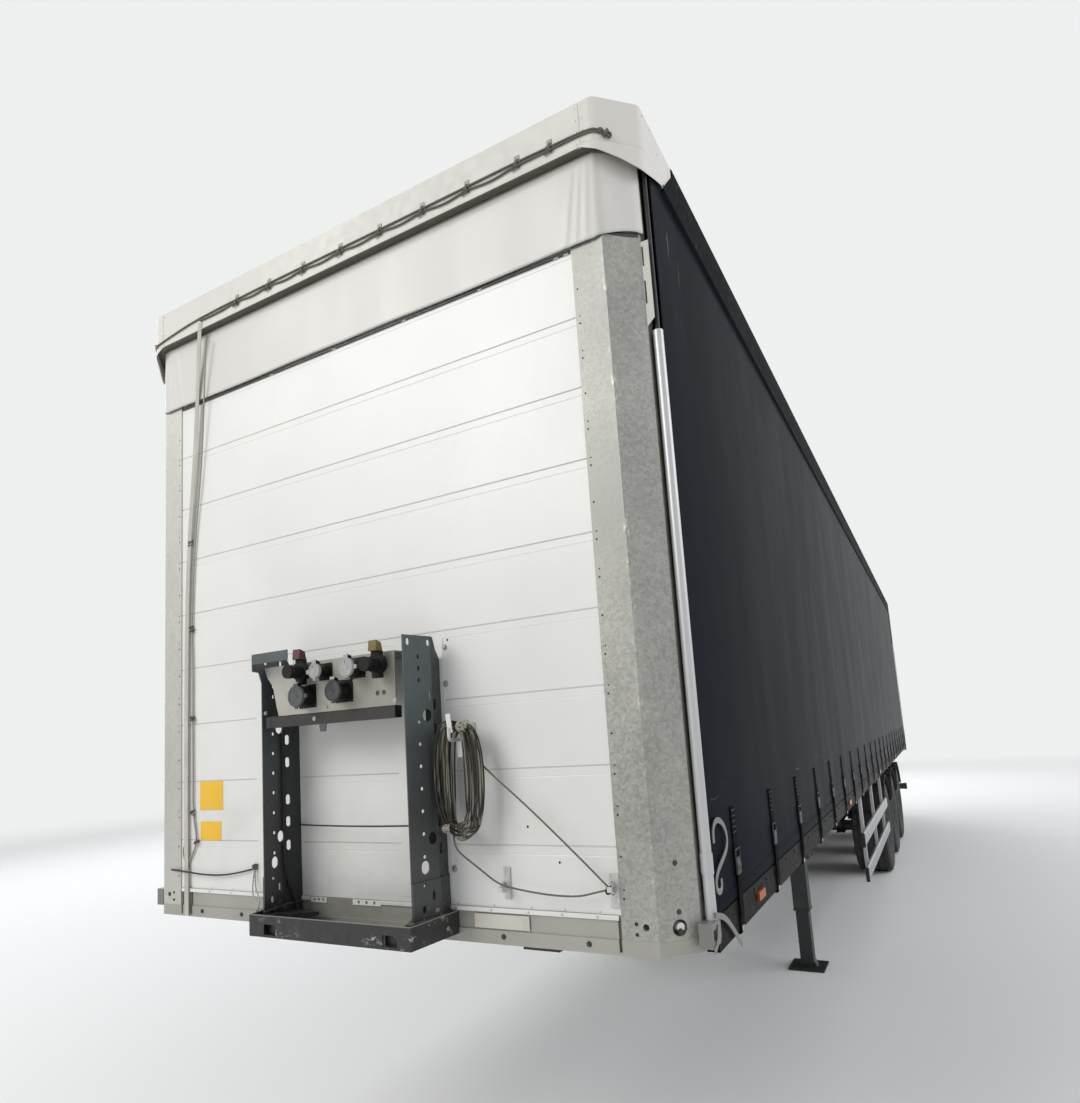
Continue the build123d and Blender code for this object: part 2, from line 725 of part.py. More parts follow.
save("floor", floor())
save("side_raves", [side_rave(side) for side in SIDES.values()])
save("roof_rails", [roof_rail(side) for side in SIDES.values()])
save("curtains", [curtain(side) for side in SIDES.values()])
save("roof_sheet", roof())
save("roof_bows", roof_bows())


# Rear portal and doors
def hinge_heights():
    span = DOOR_TOP - DOOR_BOTTOM - 400
    step = span / (HINGES_PER_DOOR - 1)
    return [DOOR_BOTTOM + 200 + step * index for index in range(HINGES_PER_DOOR)]


def hinge_pin(side, z):
    """A pin between two lugs that stand out behind the portal's post."""
    half = HINGE_HEIGHT / 2 + 1
    y = (side * (HALF_WIDTH - HINGE_LUG), side * HALF_WIDTH)
    made = rod((PIN_X, side * PIN_Y, z - half - 6), (PIN_X, side * PIN_Y, z + half + 6), HINGE_PIN_RADIUS)
    for low, high in ((z - half - 16, z - half), (z + half, z + half + 16)):
        made += block((PIN_X - HINGE_BARREL_RADIUS, REAR_X - SEAT_GAP), y, (low, high))
    return made


def portal():
    """Two posts, a header and a sill with bar keepers, and the hinge pins on the posts."""
    inner = HALF_WIDTH - PORTAL_POST
    deep = (REAR_X, PORTAL_FRONT)
    header = block(deep, (-inner, inner), (RAIL_TOP - PORTAL_HEADER, RAIL_TOP))
    sill = block(deep, (-HALF_WIDTH, HALF_WIDTH), (PORTAL_BOTTOM, FLOOR_HEIGHT))
    for side in SIDES.values():
        for y in LOCK_BAR_YS:
            keeper = (side * y - 24, side * y + 24)
            sill += block((DOOR_OUTER_X - 22, REAR_X), keeper, (PORTAL_BOTTOM + 60, PORTAL_BOTTOM + 80))
    made = [header, sill]
    for side in SIDES.values():
        made.append(block(deep, (side * inner, side * HALF_WIDTH), (FLOOR_HEIGHT, RAIL_TOP)))
        made += [hinge_pin(side, z) for z in hinge_heights()]
    return made


def door(side):
    """One leaf with a raised frame and grooved panels on its outer face."""
    near, far = DOOR_CLEARANCE / 2, DOOR_EDGE
    leaf = block((DOOR_OUTER_X, DOOR_INNER_X), (side * near, side * far), (DOOR_BOTTOM, DOOR_TOP))
    pitch = (DOOR_TOP - DOOR_BOTTOM - 2 * DOOR_FRAME) / DOOR_PANELS
    for index in range(DOOR_PANELS):
        low = DOOR_BOTTOM + DOOR_FRAME + index * pitch
        leaf -= block(
            (DOOR_OUTER_X - 1, DOOR_OUTER_X + DOOR_GROOVE),
            (side * (near + DOOR_FRAME), side * (far - DOOR_FRAME)),
            (low + 4, low + pitch - 4),
        )
    return leaf


def door_gear(side):
    """Hinge straps with their barrels, and two lock bars with guides, cams and a handle."""
    made = []
    for z in hinge_heights():
        start, end = (PIN_X, side * PIN_Y, z - HINGE_HEIGHT / 2), (PIN_X, side * PIN_Y, z + HINGE_HEIGHT / 2)
        hinge = rod(start, end, HINGE_BARREL_RADIUS)
        edge, low_high = side * DOOR_EDGE, (z - 30, z + 30)
        hinge += block((PIN_X, DOOR_OUTER_X), (edge - side * 10, edge), low_high)
        hinge += block((DOOR_OUTER_X - 8, DOOR_OUTER_X), (edge - side * 200, edge), low_high)
        hinge -= rod(start, end, HINGE_PIN_RADIUS + SEAT_GAP)
        made.append(hinge)
    for y in LOCK_BAR_YS:
        x = DOOR_OUTER_X - LOCK_BAR_RADIUS - 4
        bar = rod((x, side * y, DOOR_BOTTOM - 18), (x, side * y, DOOR_TOP - 8), LOCK_BAR_RADIUS)
        for z in (DOOR_BOTTOM + 60, DOOR_BOTTOM + 700, DOOR_TOP - 900, DOOR_TOP - 60):
            bar += block((x - 6, DOOR_OUTER_X), (side * y - 34, side * y + 34), (z - 20, z + 20))
        bar += block((x - 5, x + 5), (side * y, side * (y + 330)), (DOOR_BOTTOM + 400, DOOR_BOTTOM + 430))
        catch = (side * (y + 280), side * (y + 310))
        bar += block((x, DOOR_OUTER_X), catch, (DOOR_BOTTOM + 392, DOOR_BOTTOM + 438))
        made.append(bar)
    return made


save("rear_portal", portal())
for name, side in SIDES.items():
    save(f"rear_door_{name}", door(side))
    save(f"door_gear_{name}", door_gear(side))


# Chassis
def main_beam(side):
    """A welded beam of web and flanges, shallow at the neck and deep behind the legs."""
    top = FLOOR_BOTTOM
    lower = [
        (BODY_FRONT, NECK_BOTTOM),
        (WALL_X - NECK_END, NECK_BOTTOM),
        (WALL_X - NECK_SLOPE_END, FRAME_BOTTOM),
        (PORTAL_FRONT, FRAME_BOTTOM),
    ]
    y = side * BEAM_HALF_TRACK
    shape = [(BODY_FRONT, top), (PORTAL_FRONT, top)] + lower[::-1]
    web = crosswise(shape, y - BEAM_WEB / 2, y + BEAM_WEB / 2)
    flange = crosswise(sheet(lower, -BEAM_FLANGE), y - BEAM_FLANGE_WIDTH / 2, y + BEAM_FLANGE_WIDTH / 2)
    upper = block(
        (PORTAL_FRONT, BODY_FRONT),
        (y - BEAM_FLANGE_WIDTH / 2, y + BEAM_FLANGE_WIDTH / 2),
        (top - BEAM_FLANGE, top),
    )
    return web + flange + upper


def station_xs():
    first, last = BODY_FRONT - 120, PORTAL_FRONT + 120
    count = round((first - last) / CROSS_PITCH)
    return [first - (first - last) * index / count for index in range(count + 1)]


WEB_INNER = BEAM_HALF_TRACK - BEAM_WEB / 2
WEB_OUTER = BEAM_HALF_TRACK + BEAM_WEB / 2
FLANGE_INNER = BEAM_HALF_TRACK - BEAM_FLANGE_WIDTH / 2
FLANGE_OUTER = BEAM_HALF_TRACK + BEAM_FLANGE_WIDTH / 2
RAVE_INNER = HALF_WIDTH - RAVE_INSET - RAVE_WIDTH
CROSS_BOTTOM = FLOOR_BOTTOM - CROSS_HEIGHT
FLANGE_UNDERSIDE = FLOOR_BOTTOM - BEAM_FLANGE


def both_sides_yz(half):
    return half[1:] + [(-y, z) for y, z in half[:0:-1]]


def cross_member(x):
    """A channel between the main beams, notched under their upper flanges."""
    half = [
        (0, CROSS_BOTTOM),
        (WEB_INNER, CROSS_BOTTOM),
        (WEB_INNER, FLANGE_UNDERSIDE),
        (FLANGE_INNER, FLANGE_UNDERSIDE),
        (FLANGE_INNER, FLOOR_BOTTOM),
    ]
    web = lengthwise(both_sides_yz(half), x, x + CROSS_SHEET)
    foot = block((x, x + CROSS_FLANGE), (-WEB_INNER, WEB_INNER), (CROSS_BOTTOM, CROSS_BOTTOM + CROSS_SHEET))
    top = (FLOOR_BOTTOM - CROSS_SHEET, FLOOR_BOTTOM)
    head = block((x, x + CROSS_FLANGE), (-FLANGE_INNER, FLANGE_INNER), top)
    return web + foot + head


def outrigger(side, x):
    """A tapered bracket from a main beam to the rave."""
    profile = [
        (side * WEB_OUTER, FLOOR_BOTTOM - OUTRIGGER_ROOT),
        (side * RAVE_INNER, FLOOR_BOTTOM - OUTRIGGER_TIP),
        (side * RAVE_INNER, FLOOR_BOTTOM),
        (side * FLANGE_OUTER, FLOOR_BOTTOM),
        (side * FLANGE_OUTER, FLANGE_UNDERSIDE),
        (side * WEB_OUTER, FLANGE_UNDERSIDE),
    ]
    return lengthwise(profile, x, x + CROSS_SHEET)


def coupling_plate():
    return block(
        (WALL_X - COUPLING_REAR, WALL_X - COUPLING_FRONT),
        (-COUPLING_HALF_WIDTH, COUPLING_HALF_WIDTH),
        (NECK_BOTTOM - COUPLING_SHEET, NECK_BOTTOM),
    )


def kingpin():
    top = NECK_BOTTOM - COUPLING_SHEET
    section = [
        (0, 0),
        (KINGPIN_COLLAR, 0),
        (KINGPIN_COLLAR, -30),
        (KINGPIN_RADIUS, -30),
        (KINGPIN_RADIUS, -65),
        (KINGPIN_FOOT, -65),
        (KINGPIN_FOOT, -KINGPIN_LENGTH),
        (0, -KINGPIN_LENGTH),
    ]
    plane = Plane(origin=(0, 0, 0), x_dir=(1, 0, 0), z_dir=(0, -1, 0))
    return Pos(KINGPIN_X, 0, top) * revolve(plane * outline(section), Axis.Z)


def air_tank(x):
    """A tank with rounded ends across the chassis, hung from a cross member."""
    z = CROSS_BOTTOM - 40 - TANK_RADIUS
    end, r = TANK_HALF_LENGTH, TANK_RADIUS
    section = [(0, -end), (r * 0.6, -end + 8), (r - 10, -end + 30), (r, -end + 60)]
    section += [(radius, -y) for radius, y in section[::-1]]
    body = Pos(x, 0, z) * revolve(outline(section), Axis.Y)
    for y in (-380, 380):
        body += block((x - 60, x + 60), (y - 20, y + 20), (z + r - 30, CROSS_BOTTOM))
    return body


save("main_beams", [main_beam(side) for side in SIDES.values()])
save("cross_members", [cross_member(x) for x in station_xs()] + [
    outrigger(side, x) for x in station_xs() for side in SIDES.values()
])
save("coupling_plate", coupling_plate())
save("kingpin", kingpin())
save("air_tanks", [air_tank(station_xs()[9] + 3), air_tank(station_xs()[10] + 3)])


# Wheels and axles
AXIAL = Plane(origin=(0, 0, 0), x_dir=(1, 0, 0), z_dir=(0, 0, 1))


def tyre(side, x):
    """A wide single tyre with rounded shoulders and bulging walls."""
    half = TYRE_WIDTH / 2
    walls = [
        (RIM_RADIUS + 4, 0.72),
        (RIM_RADIUS + 45, 0.86),
        (TYRE_RADIUS - 110, 1.0),
        (TYRE_RADIUS - 45, 0.96),
        (TYRE_RADIUS - 12, 0.86),
        (TYRE_RADIUS, 0.72),
    ]
    section = [(radius, -half * share) for radius, share in walls]
    section += [(radius, half * share) for radius, share in walls[::-1]]
    return Pos(x, side * TRACK_HALF, TYRE_RADIUS) * revolve(AXIAL * outline(section), Axis.Y)


def wheel(side, x):
    """A dished disc wheel with hand holes, on its hub."""
    half = TYRE_WIDTH / 2 * 0.72
    disc = 40
    section = [
        (SPINDLE_RADIUS + SPINDLE_CLEARANCE, -60),
        (HUB_RADIUS, -60),
        (HUB_RADIUS, 20),
        (HUB_RADIUS + 60, 20),
        (RIM_RADIUS - 20, disc),
        (RIM_RADIUS - 20, -half),
        (RIM_RADIUS + 4 - SEAT_GAP, -half),
        (RIM_RADIUS + 4 - SEAT_GAP, half),
        (RIM_RADIUS - 12, half),
        (RIM_RADIUS - 20, disc + 34),
        (HUB_RADIUS + 60, 20 + RIM_SHEET),
        (HUB_RADIUS, 20 + RIM_SHEET),
        (HUB_RADIUS - 22, 110),
        (0, 118),
        (0, 106),
        (SPINDLE_RADIUS + SPINDLE_CLEARANCE, 106),
    ]
    body = revolve(AXIAL * outline(section), Axis.Y)
    ring = RIM_RADIUS - 62
    for index in range(HAND_HOLES):
        angle = 2 * math.pi * index / HAND_HOLES
        px, pz = ring * math.cos(angle), ring * math.sin(angle)
        body -= rod((px, 0, pz), (px, 100, pz), HAND_HOLE_RADIUS)
    if side < 0:
        body = Rot(0, 0, 180) * body
    return Pos(x, side * TRACK_HALF, TYRE_RADIUS) * body


def axle(x):
    """An axle tube with stub axles, brake shields and brake chambers."""
    inner = TRACK_HALF - 70
    beam = rod((x, -inner, TYRE_RADIUS), (x, inner, TYRE_RADIUS), AXLE_RADIUS)
    spindle_end = TRACK_HALF + 100
    beam += rod((x, -spindle_end, TYRE_RADIUS), (x, spindle_end, TYRE_RADIUS), SPINDLE_RADIUS)
    for side in SIDES.values():
        y = side * (BEAM_HALF_TRACK - 160)
        near, far = (x + 60, y, TYRE_RADIUS + 20), (x + 60 + CHAMBER_LENGTH, y, TYRE_RADIUS + 60)
        beam += rod(near, far, CHAMBER_RADIUS)
    return beam


save("axles", [axle(x) for x in AXLE_XS])
for number, x in enumerate(AXLE_XS, 1):
    for name, side in SIDES.items():
        save(f"tyre_{number}_{name}", tyre(side, x))
        save(f"wheel_{number}_{name}", wheel(side, x))


# Suspension and mudguards
def trailing_arm(side, x):
    y = side * BEAM_HALF_TRACK
    low = TYRE_RADIUS + AXLE_RADIUS + SEAT_GAP
    profile = [
        (x + ARM_FRONT, low),
        (x + ARM_FRONT, low + ARM_HEIGHT),
        (x + 120, low + ARM_HEIGHT),
        (x - ARM_REAR, low + ARM_HEIGHT * 0.8),
        (x - ARM_REAR, low + ARM_HEIGHT * 0.4),
        (x - 120, low),
    ]
    return crosswise(profile, y - ARM_WIDTH / 2, y + ARM_WIDTH / 2)


def bellows(side, x):
    """An air spring: a piston, a rolled bag and a lid under the main beam."""
    low = TYRE_RADIUS + AXLE_RADIUS + SEAT_GAP + ARM_HEIGHT
    height = FRAME_BOTTOM - low
    r = BELLOWS_RADIUS
    section = [(0, 0), (r * 0.6, 0), (r * 0.66, height * 0.3), (r * 0.96, height * 0.4), (r, height * 0.6)]
    section += [(r * 0.94, height * 0.88), (r * 0.8, height), (0, height)]
    plane = Plane(origin=(0, 0, 0), x_dir=(1, 0, 0), z_dir=(0, -1, 0))
    return Pos(x - BELLOWS_SETBACK, side * BEAM_HALF_TRACK, low) * revolve(plane * outline(section), Axis.Z)


def hanger(side, x):
    y = side * BEAM_HALF_TRACK
    made = []
    low = TYRE_RADIUS + AXLE_RADIUS - 20
    for offset in (-1, 1):
        inner = y + offset * (ARM_WIDTH / 2 + SEAT_GAP)
        outer = inner + offset * HANGER_PLATE
        profile = [(x + 400, FRAME_BOTTOM), (x + 620, FRAME_BOTTOM), (x + 560, low), (x + 440, low)]
        made.append(crosswise(profile, min(inner, outer), max(inner, outer)))
    return made


def mudguard(side, x):
    """An arched guard over one wheel, on two rods from the main beam."""
    inner = TYRE_RADIUS + GUARD_CLEARANCE
    ring = Circle(inner + GUARD_SHEET) - Circle(inner)
    wedge = Pos(0, inner) * Rectangle(4 * inner, 1.2 * inner)
    plane = Plane(origin=(0, 0, 0), x_dir=(1, 0, 0), z_dir=(0, -1, 0))
    width = TYRE_WIDTH + GUARD_MARGIN
    arc = extrude(plane * (ring & wedge), width / 2, both=True)
    guard = Pos(x, side * TRACK_HALF, TYRE_RADIUS) * arc
    reach = inner + GUARD_SHEET + 14
    for angle in (60, 120):
        bx = x + reach * math.cos(math.radians(angle))
        bz = TYRE_RADIUS + reach * math.sin(math.radians(angle))
        end = side * (TRACK_HALF + width / 2)
        guard += rod((bx, side * WEB_OUTER, bz), (bx, end, bz), 16)
    return guard


save("suspension", [
    solid
    for side in SIDES.values()
    for x in AXLE_XS
    for solid in [trailing_arm(side, x), bellows(side, x)] + hanger(side, x)
])
save("mudguards", [mudguard(side, x) for side in SIDES.values() for x in AXLE_XS])


# Landing legs, side guards, bumper and lamps
def landing_leg(side):
    """A telescopic leg with a flat foot, a gear case and a bracket on the main beam."""
    x, y = WALL_X - LEG_SETBACK, side * LEG_HALF_TRACK
    half, inner = LEG_TUBE / 2, LEG_INNER / 2
    leg = block((x - half, x + half), (y - half, y + half), (LEG_JOINT, 1190))
    leg += block((x - inner, x + inner), (y - inner, y + inner), (40, LEG_JOINT))
    leg += block((x - FOOT_SIZE / 2, x + FOOT_SIZE / 2), (y - FOOT_SIZE / 2, y + FOOT_SIZE / 2), (0, 14))
    leg += lengthwise([(y - 70, 14), (y + 70, 14), (y + inner, 60), (y - inner, 60)], x - 40, x + 40)
    leg += block((x - 70, x + 70), (y + side * half, y + side * (half + 40)), (820, 980))
    return leg + block((x - 110, x + 110), (side * WEB_OUTER, y - side * half), (960, 1170))


def leg_brace(side):
    """A strut from a leg back to the main beam's underside."""
    x, y = WALL_X - LEG_SETBACK, side * LEG_HALF_TRACK
    inner = y - side * (LEG_TUBE / 2 - 10)
    end = (x - 520, side * (BEAM_HALF_TRACK + 30), FRAME_BOTTOM - 24)
    pad = (end[1] - 50, end[1] + 50)
    brace = rod((x - 40, inner, 560), end, 20)
    return brace + block((end[0] - 50, end[0] + 30), pad, (FRAME_BOTTOM - 26, FRAME_BOTTOM - SEAT_GAP))


def leg_shaft():
    x = WALL_X - LEG_SETBACK
    end = LEG_HALF_TRACK - LEG_TUBE / 2
    return rod((x, -end, 880), (x, end, 880), 14)


def leg_crank():
    """The folded crank on the right-hand leg."""
    x, y = WALL_X - LEG_SETBACK, -(LEG_HALF_TRACK + LEG_TUBE / 2 + 40)
    crank = rod((x, y, 880), (x, y - 250, 880), 12)
    crank += rod((x, y - 240, 880), (x - 180, y - 240, 880), 11)
    return crank + rod((x - 172, y - 230, 880), (x - 172, y - 340, 880), 13)


def side_guard(side):
    """Two rails on three posts under the rave."""
    made = []
    for z in GUARD_RAILS:
        profile = [
            (side * 1240, z),
            (side * (1240 + GUARD_RAIL_DEPTH - 8), z),
            (side * (1240 + GUARD_RAIL_DEPTH), z + 12),
            (side * (1240 + GUARD_RAIL_DEPTH), z + GUARD_RAIL_HEIGHT - 12),
            (side * (1240 + GUARD_RAIL_DEPTH - 8), z + GUARD_RAIL_HEIGHT),
            (side * 1240, z + GUARD_RAIL_HEIGHT),
        ]
        made.append(lengthwise(profile, WALL_X - 7300, WALL_X - 4500))
    for setback in GUARD_POSTS:
        x = WALL_X - setback
        y = (side * (RAVE_INNER - 8), side * (1240 - SEAT_GAP))
        made.append(block((x - 30, x + 30), y, (540, FLOOR_BOTTOM - RAVE_HEIGHT)))
    return made


def bumper():
    front = REAR_X + BUMPER_SETBACK
    bar = block(
        (front, front + BUMPER_HEIGHT),
        (-BUMPER_HALF_WIDTH, BUMPER_HALF_WIDTH),
        (BUMPER_BOTTOM, BUMPER_BOTTOM + BUMPER_HEIGHT),
    )
    for side in SIDES.values():
        y = side * BEAM_HALF_TRACK
        arm = [
            (front + 10, BUMPER_BOTTOM + BUMPER_HEIGHT),
            (front + 90, BUMPER_BOTTOM + BUMPER_HEIGHT),
            (front + 210, FRAME_BOTTOM),
            (front + 10, FRAME_BOTTOM),
        ]
        bar += crosswise(arm, y - 40, y + 40)
    return bar


def rear_lamp(side):
    """A lamp housing with three round lenses."""
    low, high = PORTAL_BOTTOM + 8, DOOR_BOTTOM - 6
    y = (side * 880, side * 1240)
    profile = [(y[0], low), (y[1], low), (y[1], high), (y[0], high)]
    lamp = lengthwise(profile, REAR_X - 20, REAR_X, 12)
    for step in range(3):
        centre = (REAR_X - 20, side * (945 + 115 * step), (low + high) / 2)
        lamp += rod(centre, (REAR_X - 28, centre[1], centre[2]), 40)
    return lamp


def strap_xs():
    first, last = WALL_X - 420, PORTAL_FRONT + 300
    count = round((first - last) / STRAP_PITCH)
    return [first - (first - last) * index / count for index in range(count + 1)]


def side_lamps():
    """Marker lamps along both raves, each between two straps."""
    xs = strap_xs()
    outer = HALF_WIDTH - RAVE_INSET
    made = []
    for index in range(SIDE_LAMPS):
        place = round(index * (len(xs) - 2) / (SIDE_LAMPS - 1))
        x = (xs[place] + xs[place + 1]) / 2
        for side in SIDES.values():
            made.append(block((x - 50, x + 50), (side * outer, side * (outer + 10)), (1255, 1285)))
    return made


legs = landing_leg(1) + leg_shaft() + landing_leg(-1) + leg_crank()
save("landing_legs", legs + leg_brace(1) + leg_brace(-1))
save("side_guards", [piece for side in SIDES.values() for piece in side_guard(side)])
save("rear_bumper", bumper())
save("rear_lamps", [rear_lamp(side) for side in SIDES.values()])
save("side_lamps", side_lamps())


# Curtain tubes and straps
def front_tube(side):
    """The tensioning tube, its clamp, and the thin rod that carries it from the roof rail."""
    y = side * (HALF_WIDTH - TUBE_RADIUS - 3)
    tube = rod((FRONT_TUBE_X, y, TUBE_FOOT), (FRONT_TUBE_X, y, TUBE_TOP), TUBE_RADIUS)
    tube += rod((FRONT_TUBE_X, y, TUBE_TOP), (FRONT_TUBE_X, y, RAIL_BOTTOM - SEAT_GAP), TUBE_ROD_RADIUS)
    return tube + rod((FRONT_TUBE_X, y, 1457), (FRONT_TUBE_X, y, 1518), TUBE_RADIUS + 2.5)


def rear_tube(side):
    y = side * (HALF_WIDTH - TUBE_RADIUS - 3)
    foot = (REAR_TUBE_X, y, FLOOR_BOTTOM + SEAT_GAP)
    return rod(foot, (REAR_TUBE_X, y, RAIL_BOTTOM - SEAT_GAP), TUBE_RADIUS)


def tube_bracket(side):
    """A bent plate on the front beam with a square hole, under the front tube."""
    inner, outer = side * (POST_OUTER + SEAT_GAP), side * (HALF_WIDTH - 3)
    profile = [
        (BODY_FRONT + SEAT_GAP, BRACKET_BOTTOM + 18),
        (BODY_FRONT + 15, BRACKET_BOTTOM),
        (FRONT_TUBE_X + 60, BRACKET_BOTTOM),
        (FRONT_TUBE_X + 60, TUBE_FOOT - SEAT_GAP),
        (BODY_FRONT + SEAT_GAP, TUBE_FOOT - SEAT_GAP),
    ]
    bracket = crosswise(profile, inner, outer)
    hole = (FRONT_TUBE_X + 20, FRONT_TUBE_X + 50)
    return bracket - block(hole, (side * (POST_OUTER + 20), side * (HALF_WIDTH + 5)), (1275, 1305))


def strap(side, x):
    """A strap over the curtain's foot with a buckle, hooked under the rave."""
    inner = side * (HALF_WIDTH - CURTAIN_INSET + SEAT_GAP)
    face = inner + side * STRAP_THICKNESS
    low = FLOOR_BOTTOM - RAVE_HEIGHT
    width = (x - STRAP_WIDTH / 2, x + STRAP_WIDTH / 2)
    made = block(width, (inner, face), (low - 8, STRAP_TOP))
    made += block(width, (side * (HALF_WIDTH - RAVE_INSET - 8), inner), (low - 8, low - SEAT_GAP))
    top = BUCKLE_BOTTOM + BUCKLE_HEIGHT
    proud = side * HALF_WIDTH
    buckle = [(face, BUCKLE_BOTTOM), (proud, BUCKLE_BOTTOM + 10), (proud, top - 20), (face, top)]
    return made + lengthwise(buckle, x - BUCKLE_WIDTH / 2, x + BUCKLE_WIDTH / 2)


def loose_strap(points):
    """A flat ribbon of webbing that hangs on the curtain, along a route of reaches and heights."""
    route = [(WALL_X + reach, z) for reach, z in points]
    half = LOOSE_WIDTH / 2
    edge = offset_path(route, half)
    other = offset_path(route, -half)
    inner = HALF_WIDTH - LOOSE_INSET
    return crosswise(edge + other[::-1], inner, inner + LOOSE_THICKNESS)


save("curtain_tubes", [
    piece for side in SIDES.values() for piece in (front_tube(side), rear_tube(side), tube_bracket(side))
])
save("curtain_straps", [strap(side, x) for side in SIDES.values() for x in strap_xs()] + [
    loose_strap(points) for points in LOOSE_STRAPS
])


# Console on the front wall
def console_path(side):
    """A console plate's inner face in plan, from the wall forwards."""
    c = CONSOLE_SHIFT
    path = [
        (WALL_X, c + side * CONSOLE_BACK_HALF),
        (WALL_X + CONSOLE_FOLD_DEPTH, c + side * CONSOLE_FOLD_HALF),
        (WALL_X + CONSOLE_DEPTH, c + side * CONSOLE_FRONT_HALF),
    ]
    if side < 0:
        path.append((WALL_X + CONSOLE_EAR, c + side * (CONSOLE_FRONT_HALF - 10)))
    return path


def console_profile(side):
    """A console plate seen from the side, in reach and height."""
    back, front = CONSOLE_BACK, CONSOLE_DEPTH
    rear_top = [(52, CONSOLE_TOP), (31, CONSOLE_TOP - 45), (back, CONSOLE_TOP - 73)]
    foot = [(back, SILL_BOTTOM), (front, SILL_BOTTOM)]
    if side > 0:
        return foot + [(front, CONSOLE_TOP)] + rear_top
    ear = [
        (front, CONSOLE_TOP - 104),
        (front + 16, CONSOLE_TOP - 66),
        (CONSOLE_EAR, CONSOLE_TOP - 64),
        (CONSOLE_EAR, CONSOLE_TOP - 5),
        (CONSOLE_EAR - 8, CONSOLE_TOP),
    ]
    return foot + ear + rear_top


def oblong(hole, side):
    """A cutter for one round or oblong hole through a console plate."""
    y = CONSOLE_SHIFT + side * (CONSOLE_FOLD_HALF - 12)
    plane = Plane(origin=(WALL_X + hole.reach, y, hole.height), x_dir=(1, 0, 0), z_dir=(0, -1, 0))
    if hole.tall > hole.width:
        shape = SlotOverall(hole.tall, hole.width, rotation=90)
    else:
        shape = Circle(hole.width / 2)
    return extrude(plane * shape, HOLE_REACH, both=True)


def console_side(side):
    """A folded, holed plate with a doubler over its foot."""
    path = console_path(side)
    doubler = sheet(offset_path(path[:3], side * CONSOLE_SHEET), side * CONSOLE_SHEET)
    plate = upright(sheet(path, side * CONSOLE_SHEET), SILL_BOTTOM, CONSOLE_TOP)
    plate += upright(doubler, SILL_BOTTOM, DOUBLER_TOP)
    profile = [(WALL_X + reach, z) for reach, z in console_profile(side)]
    plate &= crosswise(profile, CONSOLE_SHIFT - 500, CONSOLE_SHIFT + 500)
    for hole in PLATE_HOLES + DOUBLER_HOLES:
        plate -= oblong(hole, side)
    return plate


def sill_tray():
    """A tray with a front lip, notched twice, and side lips that flare towards the wall."""
    c, back = CONSOLE_SHIFT, WALL_X + CONSOLE_BACK
    front = WALL_X + SILL_REACH
    half, wide = SILL_HALF, SILL_HALF + SILL_FLARE
    plan = [(back, c - wide), (front, c - half), (front, c + half), (back, c + wide)]
    tray = upright(plan, SILL_BOTTOM, SILL_BOTTOM + SILL_HEIGHT)
    inside = offset_path(plan, SILL_SHEET)
    inside[0] = (back - 10, inside[0][1])
    inside[-1] = (back - 10, inside[-1][1])
    tray -= upright(inside, SILL_BOTTOM + SILL_SHEET, SILL_BOTTOM + SILL_HEIGHT + 1)
    for y in SILL_NOTCH_YS:
        wide_notch = (y - SILL_NOTCH / 2, y + SILL_NOTCH / 2)
        tray -= block((front - 2 * SILL_SHEET, front + 1), wide_notch, (SILL_BOTTOM + 8, SILL_BOTTOM + 44))
    return tray


def console_frame():
    """Both plates, the sill tray, the crossbar with its tab, and the flat bar from the ear."""
    c = CONSOLE_SHIFT
    frame = console_side(1) + console_side(-1) + sill_tray()
    bar = (WALL_X + CROSSBAR_REACH, WALL_X + CROSSBAR_REACH + CROSSBAR_DEPTH)
    start = c - CONSOLE_FRONT_HALF - 6
    end = c + CONSOLE_FRONT_HALF - CROSSBAR_GAP
    frame += block(bar, (start, end), (CROSSBAR_BOTTOM, CROSSBAR_BOTTOM + CROSSBAR_HEIGHT))
    top, foot = CROSSBAR_BOTTOM + 1, CROSSBAR_BOTTOM - 28
    tab = [(-17, top), (-12, foot), (12, foot), (17, top)]
    frame += lengthwise(tab, bar[1] - CONSOLE_SHEET, bar[1])
    ear = (WALL_X + CONSOLE_EAR - CONSOLE_SHEET, WALL_X + CONSOLE_EAR)
    flat = (CONSOLE_TOP - 38, CONSOLE_TOP - 1)
    frame += block(ear, (c - CONSOLE_FRONT_HALF + 8, c - 145), flat)
    lip = (WALL_X - 50, WALL_X + POST_SHEET + SEAT_GAP)
    return frame - block(lip, (c - 500, c + 500), (SILL_BOTTOM - 1, BEAM_LIP_TOP + SEAT_GAP))


def console_panel():
    """The plate that carries the couplings, with a shaped end, a flange back to the wall and two holes."""
    bottom = CROSSBAR_BOTTOM + CROSSBAR_HEIGHT + SEAT_GAP
    left, right = PANEL_ENDS
    shape = [
        (right + 72, bottom),
        (right + 63, bottom + 26),
        (right + 43, bottom + 110),
        (right + 13, bottom + 148),
        (right, PANEL_TOP),
        (left, PANEL_TOP),
        (left, bottom),
    ]
    panel = lengthwise(shape, WALL_X + PANEL_REACH, WALL_X + PANEL_REACH + CONSOLE_SHEET)
    back = WALL_X + SEAT_GAP + BACKING_SHEET + SEAT_GAP
    panel += block((back, WALL_X + PANEL_REACH), (right + 14, left), (PANEL_TOP - CONSOLE_SHEET, PANEL_TOP))
    for y in (left - 77, left - 50):
        panel -= rod((WALL_X + PANEL_REACH - 1, y, 2077), (WALL_X + PANEL_REACH + 5, y, 2077), 9)
    return panel


FACE = WALL_X + PANEL_REACH + CONSOLE_SHEET + SEAT_GAP


